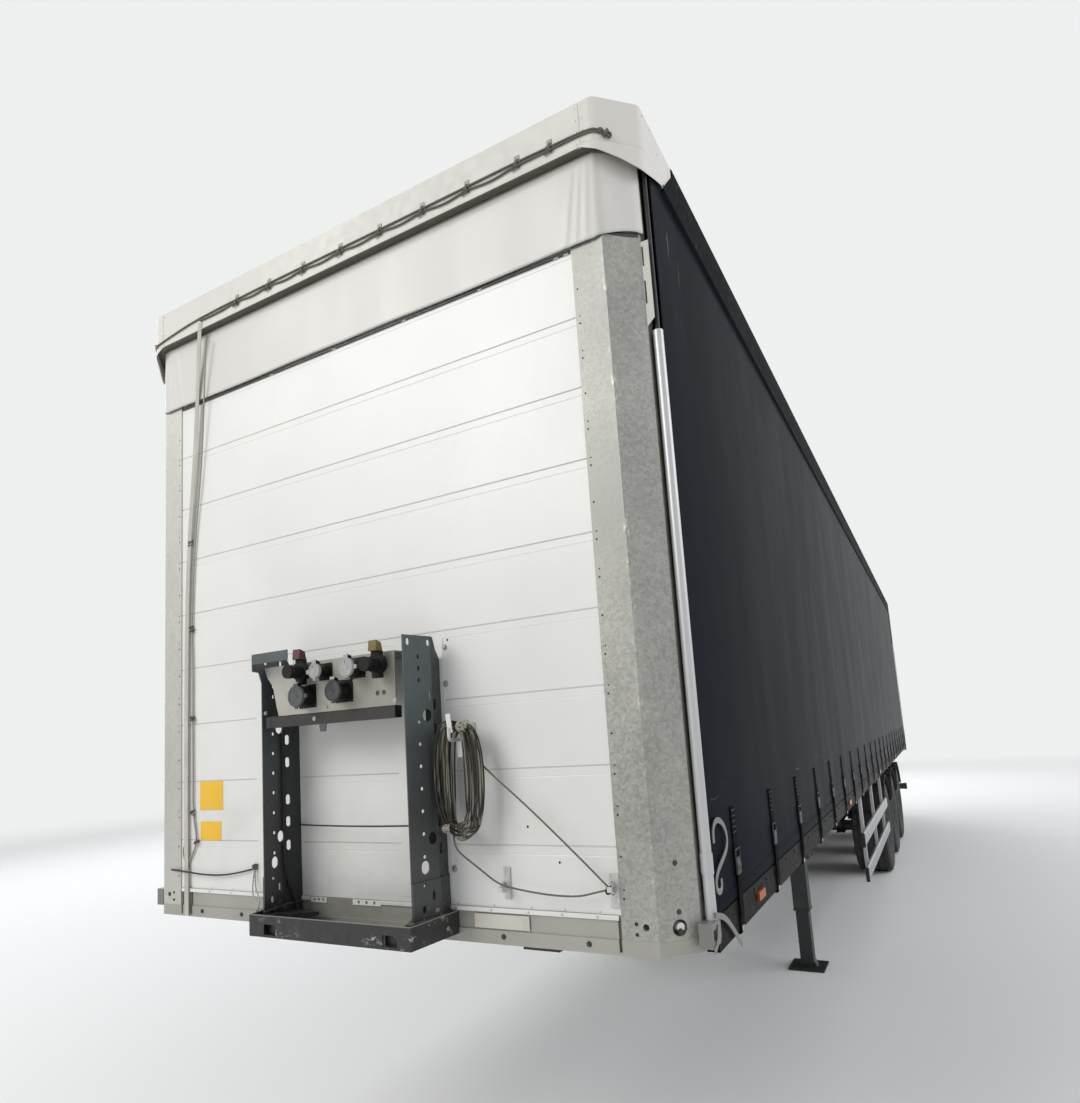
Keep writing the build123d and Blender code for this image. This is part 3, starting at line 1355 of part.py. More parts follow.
def gladhand(across, height):
    """An air coupling: a stem, a flanged head with a lug, a forward barrel with a rim, and its knob."""
    head = FACE + 22
    made = rod((FACE, across, height), (head, across, height), 14)
    made += rod((head, across, height), (head + 22, across, height), 34)
    made += block((head, head + 22), (across - 16, across + 16), (height - 48, height))
    made += block((head, head + 22), (across - 17, across + 17), (height, height + 42))
    made += rod((head + 22, across, height - 4), (head + 78, across, height - 4), 19)
    made += rod((head + 64, across, height - 4), (head + 78, across, height - 4), 24)
    return made


def coupling_knob(across, height):
    """The coloured guard on top of an air coupling."""
    low, high = height + 42 + SEAT_GAP, height + 78
    x = FACE + 24
    side = [(x, low), (x + 34, low), (x + 30, high), (x + 6, high - 8)]
    return crosswise(side, across - 17, across + 17)


def socket_body(socket):
    """A socket's flange, barrel and hinge ears."""
    y, z, r = socket.across, socket.height, socket.radius
    made = rod((FACE, y, z), (FACE + SOCKET_DEPTH, y, z), r - 3)
    made += block((FACE, FACE + 5), (y - r - 3, y + r + 3), (z - r - 3, z + r + 3))
    return made + block((FACE + SOCKET_DEPTH - 16, FACE + SOCKET_DEPTH), (y - 9, y + 9), (z + r - 8, z + r))


def socket_cap(socket):
    """A socket's lid with its hinge knuckle and grip."""
    y, z, r = socket.across, socket.height, socket.radius
    lid = FACE + SOCKET_DEPTH + SEAT_GAP
    made = rod((lid, y, z), (lid + 9, y, z), r)
    made += block((lid, lid + 9), (y - 10, y + 10), (z + r - 6, z + r + 12))
    if socket.hinge:
        grip = (y + socket.hinge * (r - 5), y + socket.hinge * (r + 12))
        made += block((lid, lid + 7), grip, (z - 8, z + 6))
    return made


save("console_frame", console_frame())
save("console_panel", console_panel())
save("air_couplings", [gladhand(across, height) for across, height in GLADHANDS.values()])
for colour, (across, height) in GLADHANDS.items():
    save(f"{colour}_knob", coupling_knob(across, height))
save("sockets", [socket_body(socket) for socket in SOCKETS])
save("socket_caps", [socket_cap(socket) for socket in SOCKETS])


# Fittings on the front wall
def eye_plate(x, y, z, half=10):
    """A small plate flat on a face, above the eye that a cord passes."""
    return block((x + SEAT_GAP, x + SEAT_GAP + 2), (y - half, y + half), (z, z + 16))


def trim_tab(across, width):
    """A white tab with three holes, hung from the lowest plank over the beam."""
    face = WALL_X + SEAT_GAP
    ends = (across - width / 2, across + width / 2)
    tab = block((face, face + 3), ends, (FLOOR_HEIGHT - 20, FLOOR_HEIGHT - 1))
    for step in (-1, 0, 1):
        y = across + step * width / 3.6
        tab -= rod((face - 1, y, FLOOR_HEIGHT - 10), (face + 4, y, FLOOR_HEIGHT - 10), 6)
    return tab


def coil_hook():
    """A plate on the wall with an arm that turns up at its tip, for the cable coil."""
    z = COIL_TOP_CENTRE + COIL_INNER - HOOK_RADIUS - SEAT_GAP
    face = WALL_X + SEAT_GAP
    hook = block((face, face + 5), (COIL_MIDDLE - 20, COIL_MIDDLE + 20), (z - 40, z + 55))
    tip = WALL_X + COIL_REACH + COIL_DEPTH / 2 + 3 * HOOK_RADIUS
    route = [(face + 4, COIL_MIDDLE, z), (tip, COIL_MIDDLE, z), (tip, COIL_MIDDLE, z + 40)]
    path = FilletPolyline(*route, radius=2 * HOOK_RADIUS)
    return hook + sweep(Plane(origin=path @ 0, z_dir=path % 0) * Circle(HOOK_RADIUS), path)


def corner_bracket():
    """A plate on the wall with the ring block that the coil's cord is tied to."""
    x, y, z = CORNER_RING
    face = WALL_X + SEAT_GAP
    plate = block((face, face + 5), (y - 15, y + 15), (z - 60, z + 40))
    ring = (y - RING_HALF, y + RING_HALF)
    return plate + block((face + 4, WALL_X + x + 9), ring, (z - RING_HALF, z + RING_HALF))


def lower_bracket():
    """A plate on the wall with the ring that the lower cord passes."""
    x, y, z = LOWER_RING
    face = WALL_X + SEAT_GAP
    plate = block((face, face + 5), (y - 12, y + 12), (z - 40, z + 60))
    return plate + block((face + 4, WALL_X + x + 8), (y - 8, y + 8), (z - 10, z + 4))


def band_clip(across):
    """A dark clip on the wall just under the band."""
    face = WALL_X + SEAT_GAP
    return block((face, face + 6), (across - 9, across + 9), (PLANKS_TOP - 12, PLANKS_TOP - 1))


fittings = [eye_plate(WALL_X + CAP_OVERHANG, y, z) for y, z in CAP_EYES]
fittings += [eye_plate(WALL_X, y, z, 7) for y, z in WALL_EYES]
fittings += [trim_tab(-214, 80), trim_tab(22, 133)]
fittings += [band_clip(y) for y in (998, 960, 648, 300, -60, -420)]
fittings += [coil_hook(), corner_bracket(), lower_bracket()]
save("front_fittings", fittings)


# Cords and webbing
def in_front(points):
    """A route of (reach, y, z) points in the trailer's frame."""
    return [(WALL_X + reach, y, z) for reach, y, z in points]


def flat_strap(points, width, thickness):
    """Webbing on the wall, along a route of (reach, y, z) points, as flat runs."""
    made = None
    for a, b in zip(points, points[1:]):
        start, end = Vector(WALL_X + a[0], a[1], a[2]), Vector(WALL_X + b[0], b[1], b[2])
        along = end - start
        plane = Plane(origin=start, x_dir=(0, 1, 0), z_dir=along.normalized())
        run = extrude(plane * Rectangle(width, thickness), along.length)
        made = run if made is None else made + run
    return made


def cable_coil():
    """The hung coil: one closed ring of its outer shape."""
    height = COIL_TOP_CENTRE - COIL_BOTTOM_CENTRE
    middle = (COIL_TOP_CENTRE + COIL_BOTTOM_CENTRE) / 2
    plane = Plane(origin=(WALL_X + COIL_REACH, COIL_MIDDLE, middle), x_dir=(0, 0, 1), z_dir=(1, 0, 0))
    ring = SlotCenterToCenter(height, 2 * COIL_OUTER) - SlotCenterToCenter(height, 2 * COIL_INNER)
    return extrude(plane * ring, COIL_DEPTH / 2, both=True)


save("cap_cord", [
    cord("cap cord, upper", in_front(CAP_CORD_UPPER), CORD_RADIUS),
    cord("cap cord, lower", in_front(CAP_CORD_LOWER), CORD_RADIUS),
])
save("tie_strap", flat_strap(TIE_STRAP, WEBBING, WEBBING_THICKNESS))
save("tie_rope", cord("tie rope", in_front(TIE_ROPE), ROPE_RADIUS))
save("rubber_cords", [
    cord("rubber cord", in_front(RUBBER_CORD), ROPE_RADIUS),
    cord("cross cord", in_front(CROSS_CORD), CABLE_RADIUS),
])
coil = cable_coil()
held = coil + corner_bracket()
save("cable_coil", coil)
save("corner_cord", [
    cord("corner cord, upper", in_front(CORNER_CORD_UPPER), CABLE_RADIUS) - held,
    cord("corner cord, lower", in_front(CORNER_CORD_LOWER), CABLE_RADIUS) - held,
])
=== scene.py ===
"""Looks of a three-axle curtain-sided semi trailer: camera, cords, finishes, fittings and studio."""

import json
import math
import random
from functools import partialmethod

import bmesh
import bpy
from mathutils import Matrix, Vector


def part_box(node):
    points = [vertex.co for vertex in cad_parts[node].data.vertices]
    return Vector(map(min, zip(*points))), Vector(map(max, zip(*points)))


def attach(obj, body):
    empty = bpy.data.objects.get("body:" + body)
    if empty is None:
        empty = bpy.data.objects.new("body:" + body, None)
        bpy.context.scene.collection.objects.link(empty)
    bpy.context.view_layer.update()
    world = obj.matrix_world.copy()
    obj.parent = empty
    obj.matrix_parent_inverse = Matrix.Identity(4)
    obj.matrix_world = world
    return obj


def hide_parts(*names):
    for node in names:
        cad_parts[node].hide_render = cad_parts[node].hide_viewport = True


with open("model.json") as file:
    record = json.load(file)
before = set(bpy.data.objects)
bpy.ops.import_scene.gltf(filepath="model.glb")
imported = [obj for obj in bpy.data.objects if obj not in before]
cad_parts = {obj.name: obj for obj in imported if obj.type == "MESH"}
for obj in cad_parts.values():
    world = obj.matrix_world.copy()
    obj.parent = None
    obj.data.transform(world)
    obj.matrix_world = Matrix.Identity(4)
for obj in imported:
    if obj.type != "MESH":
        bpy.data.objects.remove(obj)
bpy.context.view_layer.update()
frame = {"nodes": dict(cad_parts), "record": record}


# Places in metres, names and directions used throughout
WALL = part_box("front_wall_planks")[1].x - 0.0023
HALF_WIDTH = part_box("roof_rails")[1].y
TUBE_FOOT, TUBE_HEAD = 1.3255, 3.2022
CORNER_START = (1.135, 1.155)
CLOTH_DEPTH = 0.05
TRAILER = "trailer"
SIDES = {"left": 1, "right": -1}
BOTH_SIDES = ((1,), (-1,))
WHEELS = [(f"{number}_{side_name}", side, sum(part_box(f"tyre_{number}_{side_name}"), Vector()) / 2)
          for number in (1, 2, 3) for side_name, side in SIDES.items()]
ALL_WHEELS = [wheel[1:] for wheel in WHEELS]
FRONTWARDS, BACKWARDS, LEFTWARDS = (1, 0, 0), (-1, 0, 0), (0, 1, 0)
UPWARDS, DOWNWARDS = (0, 0, 1), (0, 0, -1)
FINISHES = {}


# Camera
CAMERA_PLACE = (WALL + 2.0986, 1.9252, 1.9006)
CAMERA_AZIMUTH = 208.184
CAMERA_ELEVATION = 7.6745
CAMERA_ROLL = -3.6956
CAMERA_LENS = 24.352
CAMERA_SHIFT = (0.0003, 0.0786)


def add_camera():
    azimuth, elevation = math.radians(CAMERA_AZIMUTH), math.radians(CAMERA_ELEVATION)
    forward = Vector((math.cos(azimuth) * math.cos(elevation), math.sin(azimuth) * math.cos(elevation),
                      math.sin(elevation)))
    right = forward.cross(Vector(UPWARDS)).normalized()
    up = right.cross(forward)
    turn = math.radians(CAMERA_ROLL)
    side = right * math.cos(turn) + up * math.sin(turn)
    top = up * math.cos(turn) - right * math.sin(turn)
    data = bpy.data.cameras.new("photo_camera")
    data.sensor_fit = "HORIZONTAL"
    data.sensor_width = 36
    data.lens = CAMERA_LENS
    data.shift_x, data.shift_y = CAMERA_SHIFT
    data.clip_end = 100
    camera = bpy.data.objects.new("photo_camera", data)
    camera.matrix_world = Matrix((side, top, -forward)).transposed().to_4x4()
    camera.matrix_world.translation = CAMERA_PLACE
    bpy.context.scene.collection.objects.link(camera)
    bpy.context.scene.camera = camera


add_camera()


# Shader maths


class Value:
    """A node socket that takes part in Python expressions."""

    def __init__(self, socket):
        self.socket = socket
        self.tree = socket.id_data

    def maths(self, operation, *others):
        node = self.tree.nodes.new("ShaderNodeMath")
        node.operation = operation
        for place, entry in enumerate((self, *others)):
            feed(self.tree, entry, node.inputs[place])
        return Value(node.outputs[0])

    def __rsub__(self, other):
        return (self * -1) + other


MATHS = {
    "__add__": "ADD", "__radd__": "ADD", "__sub__": "SUBTRACT", "__mul__": "MULTIPLY",
    "__rmul__": "MULTIPLY", "__truediv__": "DIVIDE", "__pow__": "POWER", "above": "GREATER_THAN",
    "least": "MINIMUM", "most": "MAXIMUM", "size": "ABSOLUTE", "wave": "SINE",
}
for method, operation in MATHS.items():
    setattr(Value, method, partialmethod(Value.maths, operation))


def feed(tree, entry, socket):
    """A link, or a plain number or colour, into a socket."""
    if isinstance(entry, Value):
        tree.links.new(entry.socket, socket)
    elif isinstance(entry, (tuple, list)):
        rest = (1,) if len(entry) == 3 and len(socket.default_value) == 4 else ()
        socket.default_value = (*entry, *rest)
    else:
        socket.default_value = entry


class Finish:
    """A material whose surface is worked out from the place on the object."""

    def __init__(self, name, colour, roughness=0.5, metallic=0.0, **constants):
        self.material = bpy.data.materials.new(name)
        self.material.use_nodes = True
        self.tree = self.material.node_tree
        self.shader = self.tree.nodes["Principled BSDF"]
        self.material.diffuse_color = (*colour, 1)
        self.set("Base Color", colour)
        self.set("Roughness", roughness)
        self.set("Metallic", metallic)
        for socket, amount in constants.items():
            self.set(socket.replace("_", " "), amount)
        self.place = self.node("TexCoord", {}, {}, "Object")
        FINISHES[name] = self.material

    def set(self, socket, entry):
        feed(self.tree, entry, self.shader.inputs[socket])

    def node(self, kind, settings, entries, output=0):
        """Any node: its settings first, then the values or links of its sockets."""
        node = self.tree.nodes.new("ShaderNode" + kind)
        for key, setting in settings.items():
            setattr(node, key, setting)
        for key, entry in entries.items():
            feed(self.tree, entry, node.inputs[key])
        return Value(node.outputs[output])

    def noise(self, scale, detail, stretch=None, roughness=0.5):
        place = self.node("Mapping", {}, {"Vector": self.place, "Scale": stretch}) if stretch else self.place
        entries = {"Vector": place, "Scale": scale, "Detail": detail, "Roughness": roughness}
        return self.node("TexNoise", {}, entries)

    def patches(self, scale, detail, low, high, stretch=None, roughness=0.5):
        """Noise from 0 to 1, in soft-edged patches."""
        return self.ranged(self.noise(scale, detail, stretch, roughness), low, high)

    def cells(self, scale):
        return self.node("TexVoronoi", {}, {"Vector": self.place, "Scale": scale}, "Color")

    def ranged(self, value, low, high, to_low=0.0, to_high=1.0):
        entries = {0: value, 1: low, 2: high, 3: to_low, 4: to_high}
        return self.node("MapRange", {"interpolation_type": "SMOOTHSTEP"}, entries)

    def axis(self, name):
        return self.node("SeparateXYZ", {}, {0: self.place}, name)

    def mixed(self, share, first, second):
        """A colour between two colours."""
        return self.node("Mix", {"data_type": "RGBA"}, {0: share, 6: first, 7: second}, 2)

    def dull(self, value, low, high):
        """Roughness between two levels, where the value follows noise."""
        self.set("Roughness", self.ranged(value, 0.3, 0.7, low, high))

    def done(self, colour, height, strength, distance):
        """Sets the colour and the bumps."""
        self.set("Base Color", colour)
        bump = {"Height": height, "Strength": strength, "Distance": distance}
        self.set("Normal", self.node("Bump", {}, bump))


# Finishes


def scaled(colour, amount):
    return tuple(min(1, part * amount) for part in colour)


def painted(name, colour, roughness, mottle, dirt, dirt_share, grain=0.00015, metallic=0.0, gloss=0.5):
    """A coated surface with uneven gloss, faint mottling and dirt that gathers in patches."""
    finish = Finish(name, colour, roughness, metallic, Specular_IOR_Level=gloss)
    fine = finish.noise(38, 5, roughness=0.6)
    dark, light = scaled(colour, 1 - mottle), scaled(colour, 1 + mottle / 2)
    tone = finish.mixed(finish.patches(1.6, 5, 0.3, 0.7), dark, light)
    if dirt:
        tone = finish.mixed(finish.patches(7, 8, 0.52, 0.75, roughness=0.68) * dirt_share, tone, dirt)
    finish.dull(fine, roughness * 0.85, min(1, roughness * 1.2))
    finish.done(tone, fine, 0.25, grain)


def plank_white():
    """White lacquer with faint upright water marks and a little dust near the bottom."""
    finish = Finish("white_plank", (0.66, 0.66, 0.64), 0.3)
    clean = finish.mixed(finish.patches(0.9, 4, 0.35, 0.65), (0.645, 0.645, 0.63), (0.695, 0.69, 0.665))
    marks = finish.patches(9, 5, 0.55, 0.8, stretch=(1, 6, 0.25), roughness=0.6) * 0.03
    low = finish.ranged(finish.axis("Z"), 1.35, 2.1, 0.5, 0.08)
    dust = (marks + low * finish.patches(5, 7, 0.4, 0.75)).least(1)
    fine = finish.noise(60, 4)
    finish.dull(fine, 0.30, 0.37)
    finish.done(finish.mixed(dust, clean, (0.53, 0.51, 0.46)), fine, 0.15, 0.0001)


def spangled(name, light, dark, roughness=0.42, crystals=0.2, stained=0.35, bloomed=0.35, fold=None):
    """Hot-dip zinc: uneven crystals in soft-edged patches, white bloom, and chips along a fold; given a fold,
    painted light makes the far post lighter.
    """
    finish = Finish(name, light, roughness, 0.45)
    large, small = (finish.node("RGBToBW", {}, {0: finish.cells(scale)}) for scale in (85, 190))
    tone = finish.ranged(large * 0.5 + small * 0.5, 0.15, 0.85)
    broad = finish.patches(3.5, 6, 0.3, 0.7, stretch=(1, 1, 0.6))
    colour = finish.mixed((tone * crystals + broad * (1 - crystals)).least(1), dark, light)
    stain = finish.patches(5, 9, 0.56, 0.78, stretch=(1, 1, 0.35), roughness=0.72) * stained
    colour = finish.mixed(stain, colour, scaled(dark, 0.78))
    bloom = finish.patches(11, 9, 0.6, 0.72, stretch=(1, 1, 0.5), roughness=0.75) * bloomed
    if fold:
        # The far post is made lighter: painted sunlight on it.
        far = 1 - finish.axis("Y").above(-0.9)
        colour = finish.mixed(far * 0.5, colour, (0.60, 0.59, 0.55))
        near = finish.ranged((finish.axis("Y").size() - fold).size(), 0.002, 0.011, 1, 0)
        bloom = bloom.most(near * finish.patches(46, 8, 0.57, 0.64, stretch=(1, 1, 0.4), roughness=0.7))
    finish.set("Roughness", finish.ranged(tone, 0, 1, roughness - 0.06, roughness + 0.1))
    finish.done(finish.mixed(bloom, colour, scaled(light, 1.45)), tone, 0.1, 0.0002)


def cloth_waves(finish):
    """Soft hanging waves, the finer ripple on them and patches of dust."""
    wave = finish.noise(1.1, 3, stretch=(1, 1, 0.18))
    ripple = finish.noise(4.5, 3, stretch=(1, 1, 0.22))
    return wave, ripple, finish.patches(3, 7, 0.5, 0.8, stretch=(1, 1, 0.5), roughness=0.65)


def cloth_weave(finish, along):
    return (along * 2600).wave() * (finish.axis("Z") * 2600).wave() * 0.0004


def roof_tarpaulin():
    """Pale coated cloth: a fine weave under a smooth skin, with soft waves and dust."""
    finish = Finish("roof_tarpaulin", (0.50, 0.49, 0.46), 0.62, Coat_Roughness=0.15, Specular_IOR_Level=0.3)
    wave, ripple, dust = cloth_waves(finish)
    finish.dull(ripple, 0.527, 0.775)
    weave = cloth_weave(finish, finish.axis("X") + finish.axis("Y"))
    finish.done(finish.mixed(dust * 0.3, (0.50, 0.49, 0.46), (0.33, 0.31, 0.27)),
                wave * 0.1 + ripple * 0.025 + weave, 1.0, CLOTH_DEPTH)


def band_tarpaulin():
    """The band's coated cloth, lighter round the corners than across the front: painted light on the corners.
    """
    finish = Finish("cream_tarpaulin", (0.55, 0.535, 0.50), 0.42, Coat_Roughness=0.15, Coat_Weight=0.15)
    # Lighter round the corners: painted light on the corners, which face away from the key lamp.
    corner = finish.ranged(finish.axis("Y").size(), *CORNER_START)
    tone = finish.mixed(corner, (0.55, 0.535, 0.50), (0.64, 0.615, 0.58))
    wave, ripple, dust = cloth_waves(finish)
    finish.dull(ripple, 0.36, 0.52)
    tone = finish.mixed(dust * 0.3, tone, (0.44, 0.42, 0.37))
    finish.done(tone, wave * 0.06 + ripple * 0.015, 1.0, CLOTH_DEPTH)


def curtain_tarpaulin():
    """Anthracite coated cloth with long light streaks near the front corner, painted highlights where creases
    catch the light, and scuffs over the straps.
    """
    colour = (0.006, 0.0078, 0.0125)
    finish = Finish("curtain_tarpaulin", colour, 0.3, Specular_IOR_Level=0.003)
    along, up = finish.axis("X"), finish.axis("Z")
    wave, ripple, dust = cloth_waves(finish)
    # Slanting light streaks near the top of the front corner: painted highlights where creases catch the
    # light.
    slanted = {"Vector": finish.place, "Rotation": (0, 0.35, 0), "Scale": (90, 1, 3.2)}
    place = finish.node("Mapping", {}, slanted)
    lines = finish.node("TexNoise", {}, {"Vector": place, "Scale": 1.0, "Detail": 3})
    high = finish.ranged(up, 3.25, 3.45) * (1 - finish.ranged(up, 3.66, 3.76))
    crease_highlight = finish.ranged(lines, 0.655, 0.70) * high * (along - (WALL - 0.42)).above(0)
    low = finish.ranged(up, 1.62, 1.66) * (1 - finish.ranged(up, 1.72, 1.77))
    rub = finish.patches(40, 5, 0.62, 0.72, stretch=(0.12, 1, 1.6), roughness=0.7)
    scuff = rub * low * finish.patches(2.1, 2, 0.45, 0.6)
    # The painted crease highlights and the real scuffs together, both lighter.
    marks = (crease_highlight * 0.6 + scuff * 0.55).least(1)
    finish.set("Roughness", finish.ranged(ripple, 0.3, 0.7, 0.27, 0.31) + marks * 0.25)
    tone = finish.mixed(dust * 0.15, colour, (0.035, 0.035, 0.037))
    height = wave * 0.02 + ripple * 0.004 + cloth_weave(finish, along)
    finish.done(finish.mixed(marks, tone, (0.22, 0.225, 0.24)), height, 1.0, CLOTH_DEPTH)


def rubber(name, colour, roughness=0.75):
    """Weathered rubber with dust on raised places."""
    finish = Finish(name, colour, roughness)
    dust = finish.patches(14, 7, 0.45, 0.75, roughness=0.65) * 0.5
    finish.dull(finish.noise(50, 3), roughness * 0.85, roughness)
    finish.done(finish.mixed(dust, colour, (0.10, 0.095, 0.085)), finish.noise(160, 3), 0.3, 0.0004)


def webbing(name, colour, roughness=0.8, sheen=0.3, gloss=0.5):
    """Woven polyester: ribs across the strap and a plain twill between them."""
    finish = Finish(name, colour, roughness, Sheen_Weight=sheen, Specular_IOR_Level=gloss)
    twill = ((finish.axis("Y") + finish.axis("X")) * 2500).wave()
    ribs = (finish.axis("Z") * 1800).wave() * 0.5 + twill * 0.5
    wear = finish.patches(10, 6, 0.45, 0.75) * 0.35
    finish.done(finish.mixed(wear, colour, scaled(colour, 1.5)), ribs, 0.4, 0.0006)


def strands(finish, pitch):
    """The slanting strands of a laid or sheathed cord, 0 to 1."""
    return ((finish.axis("Z") + finish.axis("Y") + finish.axis("X")) * pitch).wave() * 0.5 + 0.5


def rope(name, colour, roughness=0.75):
    finish = Finish(name, colour, roughness)
    strand = strands(finish, 900)
    finish.done(finish.mixed(strand, scaled(colour, 0.7), scaled(colour, 1.15)), strand, 0.5, 0.0006)


def hank_cord():
    """Olive-brown cord, faded on some strands and dark with dirt on others, and even on its free runs."""
    finish = Finish("coil_cord", (0.09, 0.08, 0.055), 0.7)
    faded = finish.patches(70, 2, 0.54, 0.60, stretch=(1, 1, 0.05))
    twist = strands(finish, 700)
    share = (faded * 0.85 + twist * 0.12).least(1)
    free = finish.axis("Y").above(0.603).most(1 - finish.axis("Z").above(1.585))
    share = share * (1 - free) + free * (0.33 + twist * 0.12)
    finish.done(finish.mixed(share, (0.010, 0.009, 0.007), (0.27, 0.25, 0.19)), twist, 0.5, 0.0008)


def bare_metal(name, colour, roughness, brush=(1, 1, 1)):
    """Metal with fine drawing lines and small dull spots."""
    finish = Finish(name, colour, roughness, 0.9)
    lines = finish.noise(70, 4, stretch=brush)
    spots = finish.patches(12, 6, 0.5, 0.75) * 0.4
    finish.dull(lines, roughness * 0.7, roughness * 1.4)
    finish.done(finish.mixed(spots, colour, scaled(colour, 0.6)), lines, 0.1, 0.0002)


def lens(name, colour, coat=0.6, gloss=0.5):
    """Moulded lamp plastic with fine ribs."""
    finish = Finish(name, colour, 0.15, Coat_Weight=coat, Specular_IOR_Level=gloss)
    ribs = (finish.axis("Y") * 900).wave() * (finish.axis("Z") * 900).wave()
    finish.done(finish.mixed(ribs * 0.5 + 0.5, scaled(colour, 0.8), colour), ribs, 0.3, 0.0006)


def plywood():
    """Dark film-faced floor boards with a mesh print and wear."""
    finish = Finish("floor_board", (0.10, 0.055, 0.03), 0.5)
    grain = finish.patches(6, 6, 0.3, 0.7, stretch=(0.15, 3, 3))
    mesh = (finish.axis("X") * 800).wave() * (finish.axis("Y") * 800).wave()
    finish.done(finish.mixed(grain, (0.075, 0.04, 0.022), (0.15, 0.09, 0.05)), mesh, 0.2, 0.0005)


def moulded_cap():
    """Off-white moulded skin, stained in patches, lighter round the corners, and with painted shade on the
    faces that look down under its edge.
    """
    colour = (0.555, 0.54, 0.50)
    finish = Finish("cream_cap", colour, 0.42)
    tone = finish.mixed(finish.patches(1.3, 6, 0.3, 0.7), scaled(colour, 0.92), scaled(colour, 1.04))
    stain = finish.patches(6, 9, 0.52, 0.76, stretch=(1, 1, 0.4), roughness=0.72) * 0.3
    tone = finish.mixed(stain, tone, (0.42, 0.38, 0.31))
    corner = finish.ranged(finish.axis("Y").size(), *CORNER_START)
    tone = finish.mixed(corner * 0.6, tone, (0.66, 0.63, 0.585))
    # Faces that look down, under the cap's edge and on its bead, get painted shade.
    facing = finish.node("SeparateXYZ", {}, {0: finish.node("TexCoord", {}, {}, "Normal")}, "Z")
    under = finish.ranged(facing, -0.85, -0.45, 1, 0)
    finish.dull(finish.noise(24, 6), 0.36, 0.52)
    finish.done(finish.mixed(under, tone, (0.075, 0.065, 0.05)), finish.noise(9, 4), 0.2, 0.0015)


def tube_metal():
    """Drawn aluminium, near black above the tube's end as painted shade for the dark gap there, and a dull
    bracket at its foot.
    """
    colour = (0.46, 0.465, 0.465)
    finish = Finish("bright_tube", colour, 0.35, 0.45)
    lines = finish.noise(70, 4, stretch=(1, 1, 0.05))
    # Above the tube's end the rod is near black: painted shade for the dark gap there.
    upper = finish.axis("Z").above(TUBE_HEAD)
    foot = 1 - finish.axis("Z").above(TUBE_FOOT)
    drawn = finish.mixed(finish.patches(12, 6, 0.5, 0.75) * 0.12, colour, scaled(colour, 0.6))
    tone = finish.mixed(foot, drawn, (0.17, 0.165, 0.155))
    finish.set("Metallic", 0.45 - upper * 0.45 - foot * 0.3)
    finish.set("Roughness", finish.ranged(lines, 0.3, 0.7, 0.36, 0.42) + upper * 0.2)
    finish.done(finish.mixed(upper, tone, (0.004, 0.004, 0.004)), lines, 0.03, 0.0002)


def lid_plastic():
    """Faded lids: the upper two pale grey, the lower two dark."""
    finish = Finish("cap_grey", (0.27, 0.275, 0.27), 0.55)
    upper = finish.axis("Z").above(2.135)
    lower = finish.mixed(finish.axis("Y").above(0.02), (0.062, 0.065, 0.065), (0.018, 0.019, 0.019))
    tone = finish.mixed(upper, lower, (0.33, 0.335, 0.325))
    faded = finish.mixed(upper, (0.085, 0.085, 0.082), (0.22, 0.215, 0.20))
    tone = finish.mixed(finish.patches(45, 6, 0.35, 0.7) * 0.35, tone, faded)
    finish.dull(finish.noise(60, 4), 0.45, 0.65)
    finish.done(tone, finish.noise(240, 3), 0.2, 0.0002)


def wall_fitting():
    """Small zinc fittings on the wall. The trim's tabs are painted white and the cap's eyes are darker."""
    finish = Finish("wall_fitting", (0.36, 0.36, 0.345), 0.45, 0.5)
    height = finish.axis("Z")
    low, high = 1 - height.above(1.352), height.above(3.8)
    grain = finish.patches(40, 6, 0.3, 0.7)
    zinc = finish.mixed(grain, (0.42, 0.42, 0.40), (0.55, 0.55, 0.53))
    finish.set("Metallic", 0.5 - low * 0.5 - high * 0.3)
    tone = finish.mixed(high, finish.mixed(low, zinc, (0.70, 0.70, 0.67)), (0.23, 0.21, 0.18))
    finish.done(tone, grain, 0.2, 0.0002)


def panel_steel():
    """Beige-grey sheet, darker and stained towards its left end and foot."""
    finish = Finish("panel_steel", (0.34, 0.325, 0.285), 0.5)
    grain = finish.patches(6, 8, 0.3, 0.72, roughness=0.65)
    across = finish.ranged(finish.axis("Y"), -0.15, 0.3, 0, 0.75)
    share = (across * 0.8 + grain * 0.35).least(1)
    finish.dull(finish.noise(40, 5), 0.4, 0.6)
    finish.done(finish.mixed(share, (0.40, 0.385, 0.34), (0.215, 0.205, 0.17)), grain, 0.1, 0.0004)


